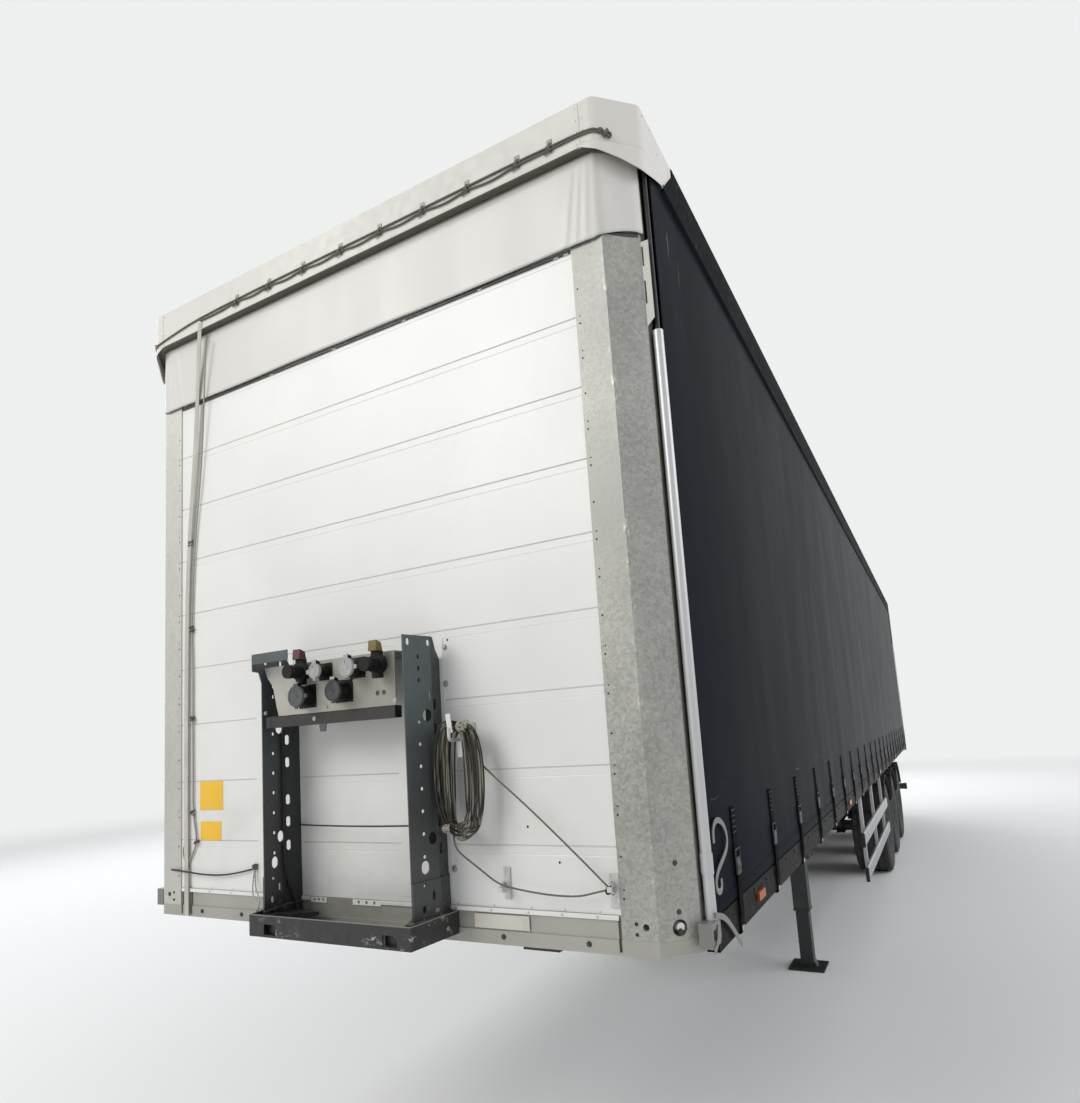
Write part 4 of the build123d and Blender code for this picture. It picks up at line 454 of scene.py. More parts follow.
def console_paint():
    """Dark slate paint, with painted shade on the rear flanges, darker on crossbar and sill, scuffed to bare
    grey along the sill, and with a painted highlight along the sill's top edge.
    """
    colour = (0.054, 0.066, 0.068)
    finish = Finish("console_paint", colour, 0.5)
    across, height = finish.axis("Y"), finish.axis("Z")
    tone = finish.mixed(finish.patches(3, 6, 0.3, 0.7), scaled(colour, 0.85), scaled(colour, 1.35))
    tone = finish.mixed(finish.ranged(height, 1.6, 2.1, 0.8, 0), tone, (0.046, 0.047, 0.045))
    # Near the wall, over the rear flanges: painted shade.
    shaded_flange = (1 - finish.axis("X").above(WALL + 0.072)) * height.above(1.36)
    tone = finish.mixed(shaded_flange * 0.75, tone, (0.018, 0.020, 0.021))
    low = finish.ranged(height, 1.338, 1.40, 1.0, 0.0)
    tone = finish.mixed(low * 0.9, tone, (0.012, 0.0115, 0.011))
    bar = height.above(1.9895) * (1 - height.above(2.0315)) * (1 - (across - 0.045).size().above(0.318))
    tone = finish.mixed(bar, tone, (0.016, 0.0145, 0.0135))
    scuff = finish.patches(26, 9, 0.56, 0.65, stretch=(1, 0.6, 1), roughness=0.75)
    corner = finish.ranged(across, 0.20, 0.33, 0, 1)
    spot = (finish.patches(3.2, 2, 0.50, 0.62) + corner * 0.8).least(1) * low * scuff
    tone = finish.mixed(spot.least(1), tone, (0.36, 0.34, 0.31))
    # A thin light line along the sill's top edge: a painted highlight.
    edge = height.above(1.3335) * (1 - height.above(1.3362))
    finish.dull(finish.noise(30, 5), 0.38, 0.6)
    finish.done(finish.mixed(edge * 0.8, tone, (0.20, 0.20, 0.195)), finish.noise(120, 4), 0.25, 0.0002)


for build in (plank_white, roof_tarpaulin, band_tarpaulin, curtain_tarpaulin, hank_cord, plywood, moulded_cap,
              tube_metal, lid_plastic, wall_fitting, panel_steel, console_paint):
    build()
spangled("galvanised", (0.385, 0.38, 0.345), (0.21, 0.215, 0.198), 0.42, 0.6, 0.5, 0.5, 1.132)
spangled("beam_steel", (0.36, 0.352, 0.315), (0.28, 0.275, 0.245), 0.52)
# name: colour, roughness, mottle, dirt's colour and share, then what differs
PAINTS = {
    "rave_paint": ((0.013, 0.013, 0.012), 0.4, 0.2, (0.06, 0.05, 0.04), 0.35, {"gloss": 0.02}),
    "dark_steel": ((0.018, 0.020, 0.022), 0.45, 0.2, (0.10, 0.09, 0.075), 0.3, {}),
    "rail_paint": ((0.009, 0.012, 0.013), 0.4, 0.15, (0.03, 0.03, 0.027), 0.15,
                   {"grain": 0.00003, "gloss": 0.002}),
    "black_plastic": ((0.012, 0.012, 0.012), 0.6, 0.2, (0.08, 0.075, 0.065), 0.4, {}),
    "coupling_black": ((0.007, 0.007, 0.007), 0.5, 0.2, (0.05, 0.045, 0.04), 0.3, {"gloss": 0.2}),
    "red_plastic": ((0.062, 0.010, 0.014), 0.55, 0.2, (0.045, 0.025, 0.025), 0.5, {}),
    "yellow_plastic": ((0.15, 0.105, 0.022), 0.6, 0.2, (0.10, 0.08, 0.04), 0.6, {}),
    "cast_iron": ((0.040, 0.034, 0.030), 0.7, 0.3, (0.09, 0.045, 0.022), 0.6, {}),
    "wheel_steel": ((0.48, 0.49, 0.50), 0.35, 0.06, (0.12, 0.11, 0.10), 0.4, {"metallic": 0.3}),
    "white_trim": ((0.66, 0.655, 0.63), 0.4, 0.04, (0.5, 0.48, 0.43), 0.3, {}),
    "dark_trim": ((0.03, 0.032, 0.03), 0.5, 0.15, None, 0, {}),
    "seam_grey": ((0.53, 0.52, 0.49), 0.5, 0.1, None, 0, {}),
    "plate_steel": ((0.50, 0.475, 0.41), 0.5, 0.12, (0.30, 0.27, 0.22), 0.4, {}),
    "plate_yellow": ((0.78, 0.46, 0.02), 0.4, 0.05, (0.5, 0.36, 0.1), 0.3, {}),
}
for name, (colour, roughness, mottle, dirt, dirt_share, settings) in PAINTS.items():
    painted(name, colour, roughness, mottle, dirt, dirt_share, **settings)
webbing("strap_webbing", (0.008, 0.008, 0.008), sheen=0, gloss=0.03)
webbing("beige_webbing", (0.42, 0.40, 0.35))
webbing("grey_webbing", (0.14, 0.138, 0.13))
bare_metal("zinc_fitting", (0.42, 0.42, 0.41), 0.4)
bare_metal("bare_steel", (0.30, 0.29, 0.28), 0.35)
bare_metal("guard_aluminium", (0.40, 0.41, 0.42), 0.38, (0.05, 1, 1))
bare_metal("rivet", (0.45, 0.45, 0.43), 0.4)
bare_metal("buckle_steel", (0.045, 0.045, 0.045), 0.45)
lens("red_lens", (0.42, 0.008, 0.010))
lens("amber_lens", (0.42, 0.09, 0.006), coat=0, gloss=0.1)
lens("clear_lens", (0.75, 0.76, 0.76))
rope("beige_cord", (0.34, 0.32, 0.27))
rope("weathered_cord", (0.115, 0.10, 0.082))
rope("dark_cord", (0.022, 0.021, 0.018))
rubber("tyre", (0.018, 0.018, 0.018))

CAD_FINISH = {"console_panel": "panel_steel", "front_fittings": "wall_fitting", "side_raves": "rave_paint"}
slots = {part["node"]: part["material_slot"] for part in frame["record"]["subparts"]}
for name, node in frame["nodes"].items():
    node.data.materials.clear()
    node.data.materials.append(FINISHES[CAD_FINISH.get(name, slots[name])])


# Mesh building


def to_scene(name, data, finish, body, replaced):
    piece = bpy.data.objects.new(name, data)
    bpy.context.scene.collection.objects.link(piece)
    data.materials.append(FINISHES[finish])
    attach(piece, body)
    if replaced:
        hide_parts(*replaced)
    return piece


def mesh_piece(name, build, finish, body=TRAILER, sharp=35, replaced=()):
    """A piece whose mesh is built in place by a function that gets an empty bmesh."""
    shape = bmesh.new()
    build(shape)
    bmesh.ops.recalc_face_normals(shape, faces=shape.faces)
    data = bpy.data.meshes.new(name)
    shape.to_mesh(data)
    shape.free()
    data.shade_smooth()
    data.set_sharp_from_angle(angle=math.radians(sharp))
    return to_scene(name, data, finish, body, replaced)


def detail(finish, slot=None, sharp=35, each=((),)):
    """Makes a piece, named after the function under it, which is run once for each of the given places."""
    def make(build):
        def every(shape):
            for place in each:
                build(shape, *place)
        mesh_piece(build.__name__, every, finish, sharp=sharp)
        return build
    return make


def side_detail(finish, sharp=35, body=TRAILER, replaced=()):
    """Makes two pieces, one a side, named after the function under it."""
    def make(build):
        for side_name, side in SIDES.items():
            mesh_piece(f"{build.__name__}_{side_name}", lambda shape: build(shape, side), finish,
                       body.format(side_name), sharp, replaced)
        return build
    return make


def wheel_detail(finish, sharp=35, replaced=""):
    """Makes six pieces that ride on the wheels, named after the function under it."""
    def make(build):
        for wheel, side, centre in WHEELS:
            mesh_piece(f"{build.__name__}_{wheel}", lambda shape: build(shape, side, centre), finish,
                       f"wheel_{wheel}", sharp, [replaced.format(wheel)] if replaced else ())
        return build
    return make


def cloth_piece(name, build, finish, thickness, replaced=()):
    """A net of faces given its thickness, as one closed mesh."""
    piece = mesh_piece(name, build, finish, sharp=180, replaced=replaced)
    sheet = piece.modifiers.new("thickness", "SOLIDIFY")
    sheet.thickness = thickness
    sheet.offset = 0
    view = bpy.context.evaluated_depsgraph_get()
    data = bpy.data.meshes.new_from_object(piece.evaluated_get(view))
    piece.modifiers.clear()
    piece.data = data
    return piece


def frame_of(normal):
    """Two directions square to a normal."""
    normal = Vector(normal).normalized()
    helper = Vector(UPWARDS) if abs(normal.z) < 0.9 else Vector(FRONTWARDS)
    across = normal.cross(helper).normalized()
    return across, across.cross(normal).normalized(), normal


def add_slab(shape, low, high, bevel=0.0):
    """A rectangular piece with softened edges."""
    low, high = Vector(low), Vector(high)
    size = high - low
    place = Matrix.Translation((low + high) / 2) @ Matrix.Diagonal((*[abs(part) for part in size], 1))
    made = bmesh.ops.create_cube(shape, size=1, matrix=place)
    if bevel:
        edges = {edge for vertex in made["verts"] for edge in vertex.link_edges}
        bmesh.ops.bevel(shape, geom=list(edges), offset=bevel, segments=2, affect="EDGES", profile=0.6)


def add_rings(shape, rings, closed_ends=True):
    """Skins a list of rings that have the same number of points."""
    rows = [[shape.verts.new(point) for point in ring] for ring in rings]
    count = len(rows[0])
    for first, second in zip(rows, rows[1:]):
        for index in range(count):
            after = (index + 1) % count
            shape.faces.new((first[index], first[after], second[after], second[index]))
    if closed_ends:
        shape.faces.new(rows[0][::-1])
        shape.faces.new(rows[-1])


def add_lathe(shape, profile, centre, axis, sides=24, closed=True, turned=None):
    """A turned form from pairs of place along the axis and radius, which turned() may change."""
    across, up, along = frame_of(axis)
    centre = Vector(centre)
    rings = []
    for index in range(sides):
        angle = 2 * math.pi * index / sides
        out = across * math.cos(angle) + up * math.sin(angle)
        entries = [turned(index, *entry) for entry in profile] if turned else profile
        rings.append([centre + along * place + out * radius for place, radius in entries])
    rows = [[shape.verts.new(point) for point in ring] for ring in rings]
    count = len(profile)
    last = count if closed else count - 1
    for index, row in enumerate(rows):
        following = rows[(index + 1) % sides]
        for step in range(last):
            after = (step + 1) % count
            shape.faces.new((row[step], row[after], following[after], following[step]))
    if not closed:
        shape.faces.new([row[0] for row in rows])
        shape.faces.new([row[-1] for row in rows][::-1])


def add_band(shape, centre, axis, low, high, inner, outer, sides):
    """A band or collar with a square section round a rod or tank."""
    add_lathe(shape, [(low, inner), (low, outer), (high, outer), (high, inner)], centre, axis, sides)


def add_rod(shape, start, end, radius, sides=12, tip=None):
    start, end = Vector(start), Vector(end)
    length = (end - start).length
    tip = radius if tip is None else tip
    add_lathe(shape, [(0, radius), (length, tip)], start, end - start, sides, closed=False)


def add_dome(shape, centre, normal, radius, height, sides=10):
    """A rivet's head."""
    steps = [(0, 1), (0.55, 0.86), (0.9, 0.5), (1, 0.12)]
    profile = [(-0.2 * height, radius)] + [(height * rise, radius * share) for rise, share in steps]
    add_lathe(shape, profile, centre, normal, sides, closed=False)


def add_bolt(shape, centre, normal, size, height=None, washer=1.35):
    """A hexagon head on a round washer."""
    height = height or size * 0.65
    disc = [(-0.001, size * washer), (size * 0.16, size * washer)]
    add_lathe(shape, disc, centre, normal, 16, closed=False)
    head = [(size * 0.1, size), (height * 0.85, size), (height, size * 0.86)]
    add_lathe(shape, head, centre, normal, 6, closed=False)


def eased(points, times):
    """A route with more points and rounder bends, between the same ends."""
    for _ in range(times):
        middle = [(a + b) / 2 for a, b in zip(points, points[1:])]
        points = [points[0]] + [p for pair in zip(middle, points[1:]) for p in pair]
        inner = [(a + 2 * b + c) / 4 for a, b, c in zip(points, points[1:], points[2:])]
        points = [points[0], *inner, points[-1]]
    return points


def add_ribbon(shape, points, across, width, thickness, ease=0):
    """A flat strap along a route, its width along one direction."""
    points = eased([Vector(point) for point in points], ease)
    across = Vector(across).normalized()
    rings = []
    for index, point in enumerate(points):
        ahead = points[min(index + 1, len(points) - 1)] - points[max(index - 1, 0)]
        out = ahead.cross(across).normalized() * thickness / 2
        half = across * width / 2
        edge = 0.35 * thickness
        side = across * (width / 2 - edge)
        rings.append([point - side - out, point - half, point - side + out, point + side + out,
                      point + half, point + side - out])
    add_rings(shape, rings)


def add_hoop(shape, centre, normal, radius, wire, sides=20, rings=8, stretch=1.0, upward=UPWARDS):
    """A wire ring, round or stretched along one direction."""
    _, _, normal = frame_of(normal)
    up = (Vector(upward) - normal * Vector(upward).dot(normal)).normalized()
    across = up.cross(normal)
    centre = Vector(centre)
    rows = []
    for index in range(sides):
        angle = 2 * math.pi * index / sides
        out = across * math.cos(angle) + up * math.sin(angle) * stretch
        middle = centre + out * radius
        out = out.normalized()
        rows.append([
            shape.verts.new(middle + out * wire * math.cos(t) + normal * wire * math.sin(t))
            for t in (2 * math.pi * step / rings for step in range(rings))
        ])
    for index, row in enumerate(rows):
        after = rows[(index + 1) % sides]
        for step in range(rings):
            following = (step + 1) % rings
            shape.faces.new((row[step], row[following], after[following], after[step]))


def add_surface(shape, columns, rows, place):
    """A net of faces over place(u, v) with u and v from 0 to 1."""
    net = [
        [shape.verts.new(place(column / columns, row / rows)) for row in range(rows + 1)]
        for column in range(columns + 1)
    ]
    for column in range(columns):
        for row in range(rows):
            first, second = net[column], net[column + 1]
            shape.faces.new((first[row], second[row], second[row + 1], first[row + 1]))


def on_front(reach, across, height):
    """A point given in millimetres by its reach from the wall's face, its place across and its height."""
    return Vector((WALL + reach / 1000, across / 1000, height / 1000))


def front_ribbon(shape, route, across, width, thickness, ease):
    add_ribbon(shape, [on_front(*place) for place in route], across, width, thickness, ease)


def front_slab(shape, low, high, bevel):
    add_slab(shape, on_front(*low), on_front(*high), bevel)


def front_dome(shape, place, radius, height, sides=10):
    add_dome(shape, on_front(*place), FRONTWARDS, radius, height, sides)


def front_bolt(shape, place, size, height):
    add_bolt(shape, on_front(*place), FRONTWARDS, size, height)


# Cords
CAP_FACE = 49.8
CAP_CORD_UPPER = [
    (-20, -1220.8, 3844), (43, -1157.8, 3849), (CAP_FACE, -1141.3, 3850.5), (CAP_FACE, -990, 3872),
    (CAP_FACE, -826, 3888), (CAP_FACE, -379, 3892), (CAP_FACE, 29, 3889), (CAP_FACE, 442, 3887),
    (CAP_FACE, 856, 3888), (CAP_FACE, 985, 3884), (CAP_FACE, 1092, 3882), (CAP_FACE, 1141.3, 3876.5),
    (43, 1157.8, 3873.5), (4.8, 1196, 3866),
]
CAP_CORD_LOWER = [(CAP_FACE, across, height) for across, height in (
    (-826, 3873), (-704, 3869), (-600, 3880), (-564, 3880), (-480, 3868), (-397, 3879), (-361, 3879),
    (-280, 3867), (-197, 3877), (-161, 3877), (-75, 3866), (11, 3876), (47, 3876), (132, 3865),
    (216, 3875), (252, 3875), (338, 3864), (424, 3874), (460, 3874), (544, 3862), (627, 3872),
    (663, 3872), (750, 3862), (838, 3874), (874, 3874), (985, 3873), (1092, 3874.5), (1141.3, 3869),
)] + [(43, 1157.8, 3866), (4.8, 1196, 3858.5)]
TIE_ROPE = [
    (44, -793, 3786), (22, -836, 3510), (12, -869, 3187.5), (7, -922, 2853), (6.5, -944, 2464),
    (7, -934, 2302), (6.5, -937, 2061), (7, -934, 1833), (6.5, -936, 1664), (7, -905, 1543),
    (6.5, -952, 1475), (6.5, -976, 1440),
]
RUBBER_CORD = [
    (7.8, -1076, 1425), (19, -972, 1423), (17.5, -860, 1413.5), (15, -738, 1413), (12, -609, 1432),
    (6.5, -552, 1446),
]
CROSS_CORD = [(10, -299, 1617), (90, 45, 1619), (174, 381.3, 1636)]
CONSOLE_CABLE = [
    (76, -303, 2030), (84, -303, 1948), (80, -303, 1862), (86, -303, 1797), (81, -303, 1704),
    (85, -303, 1645), (80, -303, 1567), (84, -303, 1496), (70, -301, 1421), (36, -296, 1340),
    (30, -292, 1300),
]
CORNER_CORD = [
    (80, 596, 1868), (57, 806, 1634), (35, 1003, 1433),
]
LOWER_CORD = [
    (80, 466, 1588), (76, 476, 1550), (70, 515, 1518), (60, 560, 1483), (52, 603, 1449), (46, 632, 1433),
    (44, 690, 1422), (42, 773, 1411.5), (40, 840, 1407.5), (38, 905, 1409), (36, 960, 1424), (35, 1003, 1433),
]


def cord_piece(name, route, radius, finish, replaced=()):
    """A round cord along one smooth line."""
    curve = bpy.data.curves.new(name, "CURVE")
    curve.dimensions = "3D"
    spline = curve.splines.new("NURBS")
    spline.points.add(len(route) - 1)
    for knot, place in zip(spline.points, route):
        knot.co = (*on_front(*place), 1)
    spline.order_u = 3
    spline.use_endpoint_u = True
    spline.resolution_u = 8
    curve.bevel_depth = radius
    curve.bevel_resolution = 3
    curve.use_fill_caps = True
    piece = to_scene(name, curve, finish, TRAILER, replaced)


cord_piece("cap_cord_upper", CAP_CORD_UPPER, 0.0036, "weathered_cord", ["cap_cord"])
cord_piece("cap_cord_lower", CAP_CORD_LOWER, 0.0036, "weathered_cord", ["cap_cord"])
cord_piece("tie_rope_line", TIE_ROPE, 0.0035, "beige_cord", ["tie_rope"])
cord_piece("rubber_cord", RUBBER_CORD, 0.0035, "dark_cord", ["rubber_cords"])
cord_piece("cross_cord", CROSS_CORD, 0.003, "dark_cord", ["rubber_cords"])
cord_piece("console_cable", CONSOLE_CABLE, 0.006, "dark_cord")
for name, length, route in (
    ("eye_loop", 0.19, [(7, -976, 1440), (9, -1001, 1490), (8, -992, 1532), (7, -976, 1526), (7, -972, 1486),
                        (7, -979, 1446)]),
    ("sill_cord_long", 0.32, [(9, -553, 1447), (14, -547, 1405), (24, -532, 1368), (60, -470, 1345),
                              (110, -410, 1340), (170, -348, 1339)]),
    ("sill_cord_short", 0.27, [(9, -553, 1447), (12, -561, 1400), (26, -549, 1352), (70, -480, 1341),
                               (120, -402, 1340)]),
):
    cord_piece(name, route, 0.0024, "beige_cord")


# The hung coil: turns in a loose stack, drawn together where they are tied
COIL_MIDDLE, COIL_HEIGHT, COIL_HALF_STRAIGHT, COIL_REACH = 511, 1777, 110, 80
COIL_TURNS, POINTS_PER_TURN = 16, 16
COIL_RADIUS, STRAND_PITCH = 61, 6.7
TIE_ANGLES = (math.radians(78), math.radians(236))
COIL_START, COIL_LEAVE = 0.35, math.radians(232)
COIL_JITTER = (3.4, 2, 5)


def strand_cell(turn):
    """The place of a turn in the stack, four by four, so that following turns lie side by side."""
    column, row = divmod(min(turn, COIL_TURNS - 1), 4)
    return column - 1.5, (row if column % 2 == 0 else 3 - row) - 1.5


def coil_points():
    draw = random.Random(4)
    jitter = [[draw.uniform(-most, most) for most in COIL_JITTER] for _ in range(COIL_TURNS + 1)]
    end = 2 * math.pi * (COIL_TURNS - 1) + COIL_LEAVE
    count = round((end - COIL_START) / (2 * math.pi) * POINTS_PER_TURN)
    points = []
    for index in range(count + 1):
        angle = COIL_START + (end - COIL_START) * index / count
        turn, part = divmod(angle / (2 * math.pi), 1)
        share = max(0, (part - 0.8) / 0.2)
        share = share * share * (3 - 2 * share)
        cells = [strand_cell(int(turn)), strand_cell(int(turn) + 1)]
        now, after = jitter[int(turn)], jitter[min(int(turn) + 1, COIL_TURNS)]
        out = cells[0][0] * (1 - share) + cells[1][0] * share
        deep = cells[0][1] * (1 - share) + cells[1][1] * share
        uneven = [a * (1 - share) + b * share for a, b in zip(now, after)]
        bend = angle % (2 * math.pi)
        tied = max(math.exp(-((bend - tie) / 0.45) ** 2) for tie in TIE_ANGLES)
        loose = 1 - tied
        radius = COIL_RADIUS + out * STRAND_PITCH * (1 + 1.35 * loose) + uneven[0] * loose
        reach = COIL_REACH + deep * STRAND_PITCH * (1 + 1.1 * loose) + uneven[1] * loose
        straight = max(-1, min(1, 1.5 * math.sin(bend))) * (COIL_HALF_STRAIGHT + uneven[2] * loose)
        points.append((
            reach,
            COIL_MIDDLE + radius * math.cos(bend),
            COIL_HEIGHT + straight + radius * math.sin(bend),
        ))
    return points


COIL_ROUTE = CORNER_CORD[:0:-1] + coil_points() + LOWER_CORD[1:]
cord_piece("coiled_cord", COIL_ROUTE, 0.003, "coil_cord",
           ["cable_coil", "corner_cord"])


# The flat strap that falls from the cap's cord to the beam
TIE_STRAP = [
    (46.55, -826, 3867), (46.55, -835, 3826), (17, -888, 3519), (17, -911, 3187.5), (12, -956, 2857),
    (12, -970, 2464), (12, -973, 2065), (12, -975, 1664), (12, -972, 1475), (12, -971, 1421),
    (12, -969, 1240),
]
mesh_piece("tie_strap_webbing", lambda shape: front_ribbon(shape, TIE_STRAP, LEFTWARDS, 0.026, 0.0025, 2),
           "beige_webbing", replaced=["tie_strap"])


# Curtains
CURTAIN_LOW, CURTAIN_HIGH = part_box("curtains")
CURTAIN_FACE = CURTAIN_HIGH.y - 0.0012
STRAP_COUNT, FIRST_STRAP, STRAP_PITCH = 22, 6.313, 0.62


def pleat(x, z, side):
    """How far the curtain stands in from its tight plane."""
    top, bottom = CURTAIN_HIGH.z, CURTAIN_LOW.z
    rise = (z - bottom) / (top - bottom)
    slack = math.sin(math.pi * min(1, rise * 1.02)) ** 0.7 if rise < 0.98 else 0
    turn = 2 * math.pi * (x - FIRST_STRAP) / STRAP_PITCH
    hang = 0.5 + 0.5 * math.sin(turn + 1.2 * math.sin(z * 1.7 + side))
    broad = 0.5 + 0.5 * math.sin(x * 1.31 + side * 0.7 + 0.6 * z)
    near_top = max(0, (rise - 0.72) / 0.28)
    crease = math.sin(x * 23 + 2.2 * z + 1.5 * math.sin(x * 5)) * near_top * (1 - near_top) * 1.6
    return 0.0007 * slack * hang + 0.0025 * slack * broad + 0.0004 * max(0, crease)


def curtain_cloth(side):
    def place(u, v):
        x = CURTAIN_LOW.x + (CURTAIN_HIGH.x - CURTAIN_LOW.x) * u
        z = CURTAIN_LOW.z + (CURTAIN_HIGH.z - CURTAIN_LOW.z) * v
        return Vector((x, side * (CURTAIN_FACE - pleat(x, z, side)), z))
    return lambda shape: add_surface(shape, 560, 40, place)


def curtain_hem(side):
    """The welded hem along the foot and the seams of both end pockets."""
    def build(shape):
        ends = (CURTAIN_LOW.x + 0.004, CURTAIN_HIGH.x - 0.004)
        hem = [Vector((x, side * (CURTAIN_FACE + 0.0004), CURTAIN_LOW.z + 0.022)) for x in ends]
        add_ribbon(shape, hem, UPWARDS, 0.036, 0.0014)
        for x in (ends[0] + 0.03, ends[1] - 0.03):
            seam = [Vector((x, side * (CURTAIN_FACE + 0.0002), z / 20)) for z in range(27, 76)]
            add_ribbon(shape, seam, FRONTWARDS, 0.05, 0.0012)
    return build


for side_name, side in SIDES.items():
    cloth = cloth_piece(f"curtain_cloth_{side_name}", curtain_cloth(side), "curtain_tarpaulin", 0.0012,
                        ["curtains"])
    hem = mesh_piece(f"curtain_hem_{side_name}", curtain_hem(side), "curtain_tarpaulin")


# Curtain straps


def along_curtain(build):
    """The same fitting at every strap, under the fitting's own name."""
    def every(shape, side):
        for index in range(STRAP_COUNT):
            build(shape, side, FIRST_STRAP - index * STRAP_PITCH)
    every.__name__ = build.__name__
    return every


def side_ribbon(shape, side, route, across, width, thickness, ease=0):
    """A ribbon along places given by x, distance from the middle plane and height."""
    add_ribbon(shape, [Vector((x, side * y, z)) for x, y, z in route], across, width, thickness, ease)


@side_detail("strap_webbing", replaced=["curtain_straps"])
@along_curtain
def curtain_straps(shape, side, x):
    """The strap from its seam to the rave, and its loose tail behind the buckle."""
    face = CURTAIN_FACE + 0.0026
    strap = [(x, face, 1.620), (x, face, 1.52), (x, face + 0.001, 1.485), (x, face, 1.40), (x, face, 1.30),
             (x, face, 1.2165), (x, face - 0.004, 1.213), (x, face - 0.018, 1.2135)]
    side_ribbon(shape, side, strap, FRONTWARDS, 0.048, 0.0026)
    near = x + 0.003
    tail = [(near, 1.2722, 1.43), (near, 1.2735, 1.38), (near, 1.2712, 1.31), (near, 1.273, 1.27)]
    side_ribbon(shape, side, tail, (1, 0, 0.02), 0.045, 0.0018, 1)


@side_detail("buckle_steel")
@along_curtain
def strap_stitches(shape, side, x):
    for step in range(5):
        z = 1.535 + step * 0.018
        add_slab(shape, (x - 0.02, side * 1.2695, z), (x + 0.02, side * 1.2704, z + 0.0025), 0.0004)


@side_detail("buckle_steel")
@along_curtain
def strap_buckles(shape, side, x):
    """A stamped tension lever on a frame."""
    for edge in (x - 0.0285, x + 0.0285):
        add_slab(shape, (edge - 0.0025, side * 1.2688, 1.402), (edge + 0.0025, side * 1.2748, 1.484), 0.001)
    for z in (1.404, 1.443, 1.481):
        add_rod(shape, (x - 0.0305, side * 1.2722, z), (x + 0.0305, side * 1.2722, z), 0.0026, 8)
    lever = [(x, 1.2742, 1.400), (x, 1.2746, 1.43), (x, 1.2738, 1.456)]
    side_ribbon(shape, side, lever, FRONTWARDS, 0.044, 0.0022)


@side_detail("zinc_fitting")
@along_curtain
def strap_hooks(shape, side, x):
    """The bent hook under the rave's lip."""
    hook = [(x, 1.2685, 1.236), (x, 1.2700, 1.219), (x, 1.2640, 1.2105), (x, 1.2560, 1.2125)]
    side_ribbon(shape, side, hook, FRONTWARDS, 0.03, 0.003, 1)


LOOSE_STRAPS = [
    [(-152, 1541), (-150, 1590), (-215, 1612), (-300, 1570), (-312, 1513), (-240, 1480), (-165, 1458),
     (-132, 1425), (-150, 1392), (-200, 1396), (-196, 1428)],
    [(-98, 1341), (-168, 1326), (-240, 1291), (-368, 1189)],
    [(-118, 1310), (-98, 1262), (-58, 1250)],
]


@detail("grey_webbing", "strap_webbing", sharp=60)
def loose_webbing(shape):
    """Webbing tails on the curtain's front edge: the strap's width lies on the cloth."""
    for index, route in enumerate(LOOSE_STRAPS):
        points = eased([on_front(reach, 1273.5 + 0.4 * index, height) for reach, height in route], 3)
        rings = []
        for step, point in enumerate(points):
            ahead = (points[min(step + 1, len(points) - 1)] - points[max(step - 1, 0)]).normalized()
            wide = ahead.cross(Vector(LEFTWARDS)) * 0.009
            thin = Vector((0, 0.0011, 0))
            rings.append([point - wide - thin, point + wide - thin, point + wide + thin, point - wide + thin])
        add_rings(shape, rings)


# Roof cloth
ROOF_LOW, ROOF_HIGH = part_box("roof_sheet")
ROOF_BAYS = 18


def roof_cloth(shape):
    def place(u, v):
        x = ROOF_LOW.x + (ROOF_HIGH.x - ROOF_LOW.x) * u
        y = ROOF_LOW.y + 0.002 + (ROOF_HIGH.y - ROOF_LOW.y - 0.004) * v
        between = math.sin(math.pi * ((u * ROOF_BAYS) % 1)) if 0.01 < u < 0.99 else 0
        across = math.sin(math.pi * v) ** 0.6
        sag = 0.013 * between * across + 0.0015 * across * math.sin(x * 9 + 5 * y)
        return Vector((x, y, ROOF_HIGH.z - 0.0008 - sag))
    add_surface(shape, 288, 36, place)


def roof_seams(shape):
    """Seam tape along both rails and over every bow."""
    for side in SIDES.values():
        y, z = side * (HALF_WIDTH - 0.022), ROOF_HIGH.z - 0.0002
        add_ribbon(shape, [(ROOF_LOW.x + 0.02, y, z), (ROOF_HIGH.x - 0.01, y, z)], LEFTWARDS, 0.036, 0.0016)
    for index in range(1, ROOF_BAYS):
        x = ROOF_LOW.x + (ROOF_HIGH.x - ROOF_LOW.x) * index / ROOF_BAYS
        line = [(x, y, ROOF_HIGH.z - 0.0004) for y in (-1.235, -0.6, 0, 0.6, 1.235)]
        add_ribbon(shape, line, FRONTWARDS, 0.05, 0.0016)


roof = cloth_piece("roof_cloth", roof_cloth, "roof_tarpaulin", 0.0014, ["roof_sheet"])
tape = mesh_piece("roof_seams", roof_seams, "roof_tarpaulin")


# The band under the cap
BAND_PLAN = [(13.5, 0), (13.5, 1090), (12, 1126), (-4, 1148), (-78, 1224), (-97, 1238), (-101.5, 1240)]


def plan_point(plan, share):
    lengths = [math.dist(a, b) for a, b in zip(plan, plan[1:])]
    left = share * sum(lengths)
    for (a, b), length in zip(zip(plan, plan[1:]), lengths):
        if left <= length:
            part = left / length
            return a[0] + (b[0] - a[0]) * part, a[1] + (b[1] - a[1]) * part, b[0] - a[0], b[1] - a[1]
        left -= length
    return *plan[-1], plan[-1][0] - plan[-2][0], plan[-1][1] - plan[-2][1]


def band_foot(across):
    """The band's lower edge, lifted round the corner."""
    if across < 1095:
        return 3518.5 + 2 * math.sin(across / 130)
    if across < 1148:
        return 3519 + 11 * ((across - 1095) / 53) ** 1.5
    return 3530 + 19 * math.sin((across - 1148) / 92 * math.pi * 0.62)


